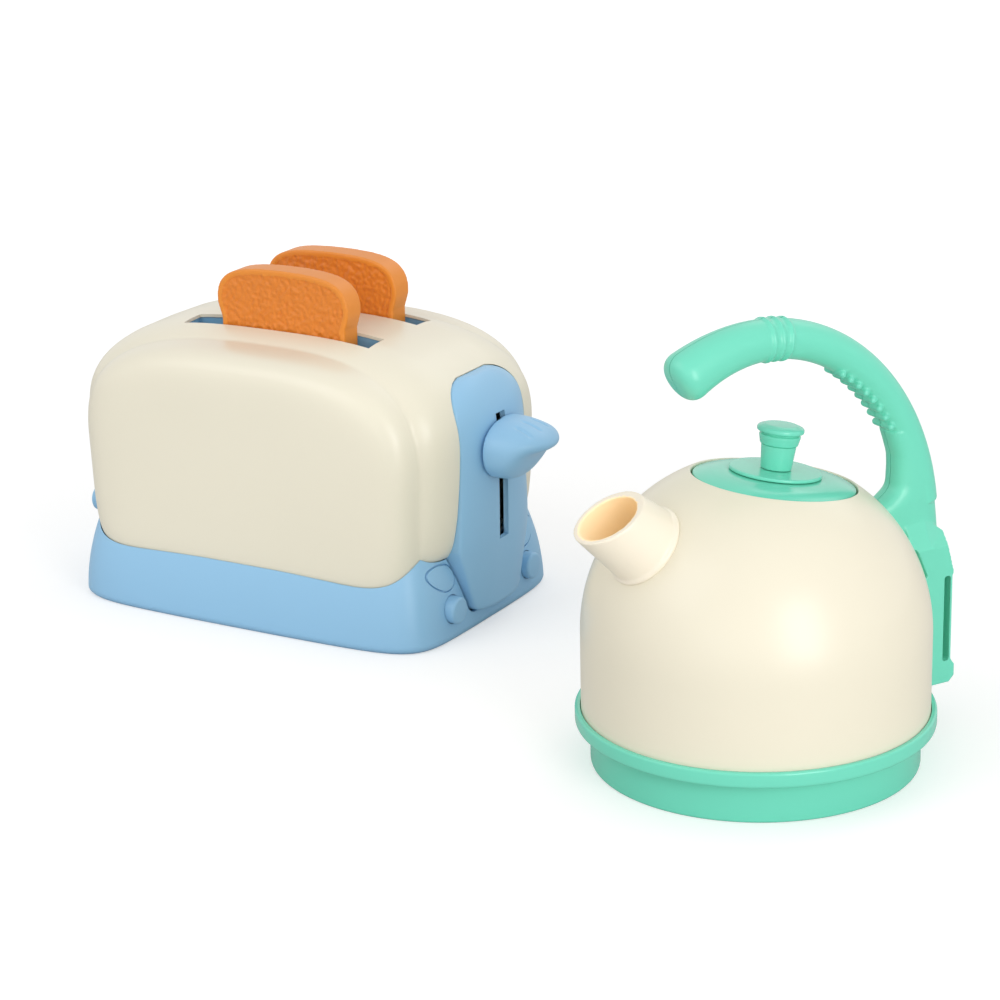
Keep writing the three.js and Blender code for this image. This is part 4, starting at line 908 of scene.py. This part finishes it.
def kettle_body():
    outer = pot_form(0, POT_BOTTOM)
    skin = Smooth(outer)
    sink, seat_bottom, over, boss_top = -3.2, -5.7, 30, 40
    lip = [(0, 0), (0.05, 0.32), (0.22, 0.6), (0.5, 0.76), (0.85, 0.76), (1.3, 1.2), (1.3, over)]
    mouth = [(0, sink), (MOUTH_RADIUS, sink)] + [(MOUTH_RADIUS + r, z) for r, z in lip] + [(0, over)]
    cut(outer, turned("mouth", mouth, 192, LID), pot_form(-WALL, POT_BOTTOM - OVER, 24, 90))
    seat = tube(THROAT_RADIUS, 35.5, seat_bottom, sink, 128, LID)
    joined(outer, kept(seat, pot_form(-0.6, POT_BOTTOM)))
    cut(outer, tube(0, THROAT_RADIUS, -60, 70, 128, LID), tube(0, 13, 30, 90, 96, SPOUT))
    bosses = []
    for i, (x, y) in enumerate(SCREW_PLACES):
        web = block(STAND_BOSS_CIRCLE, POT_RADIUS - WALL / 2, -WALL / 2, WALL / 2, POT_BOTTOM + GAP, boss_top)
        web.data.transform(Matrix.Rotation(2 * math.pi * (i + 0.5) / 3, 4, "Z"))
        boss = joined(bar((x, y, 4.9), (x, y, boss_top), 5), web)
        bosses.append(cut(boss, bar((x, y, 0), (x, y, 16.6), SCREW_HOLE, 20)))
    joined(outer, *bosses)
    placed(outer, "pot_skin", "kettle_body", POT_CREAM, smooth=skin)


def kettle_stand():
    foot, foot_wall, rim, rim_bottom, rim_top, groove, floor_top = 66.15, 4, 72.3, 16.8, 23.2, 70.1, 4.6
    inner = foot - foot_wall
    profile = rounded([
        (0, 1.6), (inner, 1.6), (inner, 0, 0.4), (foot, 0, 1.4), (foot, rim_bottom, 1),
        (rim, rim_bottom, 1.6), (rim, rim_top, 2.2), (groove, rim_top, 0.3), (groove, 18.5), (66.8, 18.5),
        (foot - WALL, 14.3), (foot - WALL, floor_top), (0, floor_top)])
    outer = turned("stand", profile, 192)
    holes = [bar((x, y, -OVER), (x, y, rim_bottom), SCREW_HOLE, 20) for x, y in SCREW_PLACES]
    seats = [bar((x, y, -OVER), (x, y, 2.5), HEAD_HOLE, 32) for x, y in SCREW_PLACES]
    cut(outer, *holes, *seats)
    return placed(outer, "stand_skin", "kettle_stand", GREEN)


def lid_piece(name, profile, sides, node):
    placed(turned(name, profile, sides, LID), f"{name}_skin", node, GREEN)


def kettle_lid():
    edge, plug, rise, bore, plate_top = 32.4, 28.4, 3.4, SCREW_HOLE, 5.1
    crown = []
    for u in np.linspace(0.96, 0, 14):
        height = rise * math.sin(math.pi / 2 * (1 - u) ** 0.8)
        crown.append((PLATE_RADIUS + (edge - PLATE_RADIUS) * u, height))
    underside = [(bore, -0.8), (plug - WALL, -0.8), (plug - WALL, -6.9), (plug, -6.9), (plug, -2.9)]
    rim = [(edge, -2.9), (edge, -0.5), (edge - 0.25, 0.25)]
    lid_piece("lid", underside + rim + crown + [(bore, rise)], 192, "kettle_lid")
    plate_bottom = rise + GAP
    plate = rounded([(bore, plate_bottom), (PLATE_RADIUS, plate_bottom, 0.4), (PLATE_RADIUS, plate_top, 0.7),
                     (bore, plate_top)])
    lid_piece("lid_plate", plate, 160, "lid_plate")
    knob = rounded([(bore, 0), (6.1, 0, 0.2), (6.9, 8.7, 0.6), (6.9, 9.4), (6.6, 9.5), (7.5, 9.9, 0.3),
                    (8.3, 13.4, 0.5), (7.4, 14), (7.5, 14.4), (9.3, 14.9, 0.7), (9.3, 16.6, 1.5),
                    (6.4, 17.7, 2), (0, 17.8), (0, 9.3), (bore, 9.3)])
    lid_piece("lid_knob", [(r, z + plate_top + GAP) for r, z in knob], 96, "lid_knob")


def kettle_spout():
    root, tip, reach, bead_radius = 16.3, 14.4, SPOUT_REACH, 1.3
    slope = (root - tip) / (reach - POT_RADIUS)
    over = reach + tip
    start = math.sqrt(POT_RADIUS ** 2 - root ** 2)
    profile = [(0, start - 1.3), (root, start - 1.3), (tip, reach), (tip - slope * tip, over), (0, over)]
    cone = turned("cone", profile, 128, SPOUT)
    bead = []
    for t in angles(24):
        bead.append((15.9 + bead_radius * math.cos(t), start + bead_radius * (0.5 + math.sin(t))))
    slant = block(-180, 180, -180, 180, 0, 360)
    mouth_turn = turning(20, "Y")
    slant.data.transform(SPOUT @ at(0, 0, reach) @ mouth_turn)
    through = tube(0, SPOUT_BORE, 0, over + OVER, 96, SPOUT)
    outer = joined(cone, turned("bead", bead, 128, SPOUT))
    outer = melted(cut(outer, through, slant), 0.5, 4)
    skin = Smooth(outer)
    cut(outer, pot_form(0.04, 0, 96, 360))
    joined(outer, tube(SPOUT_BORE, 12.7, 67, 71.1, 96, SPOUT))
    placed(outer, "spout_skin", "kettle_spout", [SPOUT_CREAM, SPOUT_INSIDE_PAINTED_GLOW], crease=50, smooth=skin)
    # The faces inside the bore take the inside material, with its painted light.
    place = (KETTLE @ SPOUT).inverted()
    inside = []
    for face in outer.data.polygons:
        p = place @ face.center
        n = place.to_3x3() @ face.normal
        inside.append(int(math.hypot(p.x, p.y) < 12.3 and p.x * n.x + p.y * n.y < 0))
    outer.data.polygons.foreach_set("material_index", inside)


def grip_point(t):
    return np.array([GRIP_MIDDLE + GRIP_REACH * math.cos(t), 0, GRIP_LEVEL + GRIP_HEIGHT * math.sin(t)])


def grip_frame(t):
    along = np.array([-GRIP_REACH * math.sin(t), 0, GRIP_HEIGHT * math.cos(t)])
    along /= np.linalg.norm(along)
    return grip_point(t), np.array([along[2], 0, -along[0]]), along


def grip_radius(t):
    swell = GRIP_TIP_RADIUS - GRIP_FOOT_RADIUS
    return GRIP_FOOT_RADIUS + swell * ((t - GRIP_FOOT) / (GRIP_TIP - GRIP_FOOT)) ** 4


def grip_ring(t, radius, lift=0.0, count=64):
    middle, out, along = grip_frame(t)
    a = 2 * np.pi * (np.arange(count) + 0.5) / count
    side = np.array([0, 1, 0])
    return middle + along * lift + radius * (np.cos(a)[:, None] * out + np.sin(a)[:, None] * side)


def grip_tube(inward, steps=120, count=64):
    rings = [grip_ring(t, grip_radius(t) - inward, 0, count) for t in np.linspace(GRIP_FOOT, GRIP_TIP, steps)]
    tip = GRIP_TIP_RADIUS - inward
    for a in np.radians(np.linspace(8, 86, 14)):
        rings.append(grip_ring(GRIP_TIP, tip * math.cos(a) ** 0.6, tip * 0.64 * math.sin(a) ** 0.9, count))
    return loft("grip", rings)


# Up the handle's foot: the way up, its inner and outer reach in pot radii, and its half-width in halves
# of the bracket's width
FOOT_SHARES = np.array([
    [0, 0.946, 1.256, 0.6], [0.19, 0.802, 1.25, 0.6], [0.381, 0.777, 1.234, 0.59],
    [0.459, 0.854, 1.226, 0.58], [0.522, 0.913, 1.218, 0.57], [0.648, 0.933, 1.197, 0.565],
    [0.764, 0.934, 1.172, 0.56], [0.876, 0.913, 1.148, 0.554], [1, 0.88, 1.112, 0.538]])


def foot_form():
    """The handle's foot, from the bracket up into the grip."""
    rings = []
    for up in np.linspace(0, 1, 48):
        inner, outer, wide = (eased(FOOT_SHARES[:, 0], FOOT_SHARES[:, i], up) for i in (1, 2, 3))
        ring = superellipse((outer - inner) / 2 * POT_RADIUS, wide * BRACKET_HALF, 2.6, 72)
        x = (outer + inner) / 2 * POT_RADIUS + ring[:, 0]
        rings.append(np.column_stack([x, ring[:, 1], np.full(len(ring), FOOT_BOTTOM + up * FOOT_RISE)]))
    return loft("foot", rings)


def bracket_form():
    """The block behind the pot, with a ridged roof and a notch on each side."""
    inside, half, flank_end, flank_top = POT_RADIUS - WALL, BRACKET_HALF, 85.7, 77
    outline = [(inside, 17.5), (87.5, 17.5), (90, 20), (90, 25), (88.3, 27.5), (88.3, 63.75), (88.9, 65),
               (flank_end, flank_top), (inside, flank_top)]
    flank, ridge = (flank_end, flank_top, flank_top), (87.3, 81.5, 89)
    rings = []
    for y, (end, end_top, top) in ((-half, flank), (-7, ridge), (7, ridge), (half, flank)):
        ring = [(inside, y, 65), (end, y, 65), (end, y, end_top), (77, y, top), (inside, y, top)]
        rings.append(np.array(ring))
    notch = [(60, 79), (69.9, 77.6), (75.4, 65.4), (66, 61)]
    notches = [slab("notch", notch, *sorted((s * 9, s * 14))) for s in (-1, 1)]
    return cut(joined(slab("bracket", outline, -half, half), loft("roof", rings)), *notches)


def grip_band(t):
    """One raised ring round the grip."""
    middle, out, along = grip_frame(t)
    radius = grip_radius(t)
    rings = []
    for a in angles(64):
        away = math.cos(a) * out + math.sin(a) * np.array([0, 1, 0])
        rings.append([middle + away * (radius - 0.8 + 1.7 * math.cos(b)) + along * 1.2 * math.sin(b)
                      for b in angles(16)])
    points = [p for ring in rings for p in ring]
    faces = [(i * 16 + j, i * 16 + (j + 1) % 16, ((i + 1) % 64) * 16 + (j + 1) % 16, ((i + 1) % 64) * 16 + j)
             for i in range(64) for j in range(16)]
    return solid("band", points, faces)


# Where each handle screw sits, and how far out its far half reaches there
HANDLE_SCREWS = [(grip_point(math.radians(100)), GRIP_FOOT_RADIUS),
                 (grip_point(math.radians(28)), GRIP_FOOT_RADIUS),
                 ((78.9, 0, 23.3), BRACKET_HALF), ((78.9, 0, 71.2), BRACKET_HALF)]


def handle():
    ridge, band_step, recess_in = 1.5, 4.8, 6
    parts = [foot_form(), bracket_form()]
    for i in (-1, 0, 1):
        parts.append(grip_band(math.radians(86) + i * band_step / GRIP_HEIGHT))
    for t in np.radians(np.linspace(34, 60, 8)):
        middle, out, _ = grip_frame(t)
        under = middle - out * (grip_radius(t) + 1 - ridge)
        parts.append(capsule(under - np.array([0, 5, 0]), under + np.array([0, 5, 0]), ridge))
    whole = melted(joined(grip_tube(0), *parts), 0.5, 3, 0.7)
    skin = Smooth(whole)
    rim = tube(0, 72.6, 0, 23.5, 128)
    outline = rounded([(83.9, 27, 1.5), (87.1, 27, 1.5), (87.1, 64, 1.5), (83.9, 64, 1.5)])
    recesses = [slab("recess", outline, *sorted((side * recess_in, side * 14))) for side in (-1, 1)]
    cut(whole, pot_form(GAP, 0), rim, *recesses)
    posts = [bar((p[0], -7, p[2]), (p[0], 7, p[2]), 4.15, 24) for p, _ in HANDLE_SCREWS]
    cut(whole, cut(grip_tube(2.6, 60, 32), *posts))
    other = add_object("other", whole.data.copy())
    for obj, side, name in ((whole, -1, "near"), (other, 1, "far")):
        kept(obj, block(-140, 140, *sorted((side * GAP / 2, side * 140)), 0, 280))
        bores = []
        for p, reach in HANDLE_SCREWS:
            bores.append(bar((p[0], -4.8, p[2]), (p[0], reach + OVER, p[2]), SCREW_HOLE, 20))
            if side > 0:
                bores.append(bar((p[0], reach - 3.6, p[2]), (p[0], reach + OVER, p[2]), HEAD_HOLE, 32))
        cut(obj, *bores)
        placed(obj, f"handle_{name}_skin", f"handle_half_{name}", GRIP_GREEN, crease=40, smooth=skin)


# Camera, light and floor

CAMERA_PLACE = (0.6303, -1.0554, 0.4771)


def camera():
    yaw, pitch, roll = math.radians(30.34), math.radians(18.18), math.radians(-1.23)
    look = Vector((-math.sin(yaw) * math.cos(pitch), math.cos(yaw) * math.cos(pitch), -math.sin(pitch)))
    right = Vector((math.cos(yaw), math.sin(yaw), 0))
    up = right.cross(look)
    right, up = right * math.cos(roll) + up * math.sin(roll), up * math.cos(roll) - right * math.sin(roll)
    data = bpy.data.cameras.new("camera")
    data.lens, data.sensor_width, data.clip_start = 108, 36, 0.05
    obj = add_object("camera", data)
    turn = Matrix((right, up, -look)).transposed().to_4x4()
    obj.matrix_world = Matrix.Translation(CAMERA_PLACE) @ turn
    bpy.context.scene.camera = obj


def softbox(name, place, target, size, power):
    data = bpy.data.lights.new(name, "AREA")
    data.shape, data.size, data.size_y, data.energy = "RECTANGLE", size[0], size[1], power
    obj = add_object(name, data)
    aim = (Vector(target) - Vector(place)).to_track_quat("-Z", "Y").to_matrix().to_4x4()
    obj.matrix_world = Matrix.Translation(place) @ aim


def seen_white(tree, plain, white):
    """Mixes to the white shader where the camera, a gloss or a glass looks straight at it."""
    path = tree.nodes.new("ShaderNodeLightPath")
    seen = path.outputs["Is Camera Ray"]
    for ray in ("Is Glossy Ray", "Is Transmission Ray"):
        most = tree.nodes.new("ShaderNodeMath")
        most.operation = "MAXIMUM"
        tree.links.new(seen, most.inputs[0])
        tree.links.new(path.outputs[ray], most.inputs[1])
        seen = most.outputs[0]
    mix = tree.nodes.new("ShaderNodeMixShader")
    tree.links.new(seen, mix.inputs[0])
    tree.links.new(plain, mix.inputs[1])
    tree.links.new(white, mix.inputs[2])
    return mix.outputs[0]


def studio():
    scene = bpy.context.scene
    scene.view_settings.view_transform = "Standard"
    world = bpy.data.worlds.new("studio")
    scene.world = world
    world.use_nodes = True
    tree = world.node_tree
    plain = tree.nodes["Background"]
    plain.inputs["Color"].default_value = (1, 1, 1, 1)
    plain.inputs["Strength"].default_value = 0.7
    white = tree.nodes.new("ShaderNodeBackground")
    white.inputs["Color"].default_value = (1, 1, 1, 1)
    white.inputs["Strength"].default_value = 1
    tree.links.new(seen_white(tree, plain.outputs[0], white.outputs[0]), tree.nodes["World Output"].inputs[0])
    softbox("key", (-0.8, -1.3, 1.3), (0, 0, 0.08), (1.2, 1.2), 6.6)
    softbox("side", (1.38, -0.88, 0.4), (0.02, 0, 0.09), (0.7, 1.2), 12.6)
    softbox("front", (0.55, -1.7, 0.35), (0.03, 0, 0.08), (1.7, 0.9), 2)
    softbox("back", (0.2, 1.5, 1.4), (0, 0, 0.1), (1.4, 0.8), 3.2)


def floor():
    obj = solid("floor", [(-6, -6, 0), (6, -6, 0), (6, 6, 0), (-6, 6, 0)], [(0, 1, 2, 3)])
    n = Nodes("floor_white")
    pale, paler = (0.63, 0.63, 0.625, 1), (0.64, 0.64, 0.635, 1)
    n.feed("Base Color", n.between(n.noise(3), pale, paler))
    n.shader.inputs["Roughness"].default_value = 1
    n.shader.inputs["Specular IOR Level"].default_value = 0
    camera_glow, far_glow, near, far = 0.46, 0.75, 0.3, 1.4
    path = n.add("ShaderNodeLightPath")
    away = n.add("ShaderNodeVectorMath", operation="LENGTH")
    n.wire(n.place, away.inputs[0])
    n.shader.inputs["Emission Color"].default_value = (1, 1, 1, 1)
    strength = n.add("ShaderNodeMath", operation="MULTIPLY")
    n.wire(n.spread(away.outputs["Value"], camera_glow, far_glow, near, far), strength.inputs[1])
    n.wire(path.outputs["Is Camera Ray"], strength.inputs[0])
    n.feed("Emission Strength", strength.outputs[0])
    obj.data.materials.append(n.material)


def cross_screw(node, matrix, length):
    """A pan-head screw with a cross recess, its head down at its own origin and its thread above."""
    head, head_height, root, crest, pitch, point = 2.9, 1.8, 1.15, 1.4, 0.75, 1.8
    arm, arm_half, arm_depth = 1.6, 0.36, 0.95
    profile = [(0, 0), (1.9, 0), (2.5, 0.25), (2.8, 0.7), (head, 1.3), (head, head_height)]
    profile.append((root, head_height))
    for z in np.arange(2.4, length - 2.2, pitch):
        profile += [(root, z), (crest, z + pitch / 3), (root, z + 2 * pitch / 3)]
    profile += [(root, length - point), (0.15, length), (0, length)]
    obj = turned("screw", profile, 40)
    cut(obj, block(-arm, arm, -arm_half, arm_half, -1, arm_depth),
        block(-arm_half, arm_half, -arm, arm, -1, arm_depth))
    return placed(obj, f"{node}_skin", node, STEEL, matrix, 30)


def screws():
    names = ["left_near", "left_far", "right_near", "right_far"]
    for name, (x, y) in zip(names, COLUMNS):
        cross_screw(f"cover_screw_{name}", TOASTER @ at(x, y, 0.5), 13.7)
    for i, (x, y) in enumerate(SCREW_PLACES):
        cross_screw(f"stand_screw_{i + 1}", KETTLE @ at(x, y, 0.4), 13.8)
    facing = turning(90, "X")
    for i, (p, reach) in enumerate(HANDLE_SCREWS):
        place = at(p[0], reach - 1.5, p[2]) @ facing
        cross_screw(f"handle_screw_{i + 1}", KETTLE @ place, reach + 3)
    cross_screw("lid_screw", KETTLE @ LID @ at(0, 0, -2.9), 17)


def dress_kept_nodes():
    """Gives steel to the solids of rods, springs and screws, and blue plastic to the rest."""
    for name, obj in frame["nodes"].items():
        steel = any(word in name for word in ("screw", "rod", "spring"))
        obj.data.materials.clear()
        obj.data.materials.append(STEEL if steel else BLUE)


camera()
studio()
floor()
dress_kept_nodes()
toaster_shell()
toaster_base()
end_panel("panel_lever_skin", "end_panel_lever", True)
end_panel("panel_plain_skin", "end_panel_plain", False)
lever_paddle()
for side, name in ((-1, "front"), (1, "back")):
    push_knob(side, name)
    toast_slice(side, name)
    bread_well(side, name)
springs()
kettle_body()
kettle_stand()
kettle_lid()
kettle_spout()
handle()
screws()
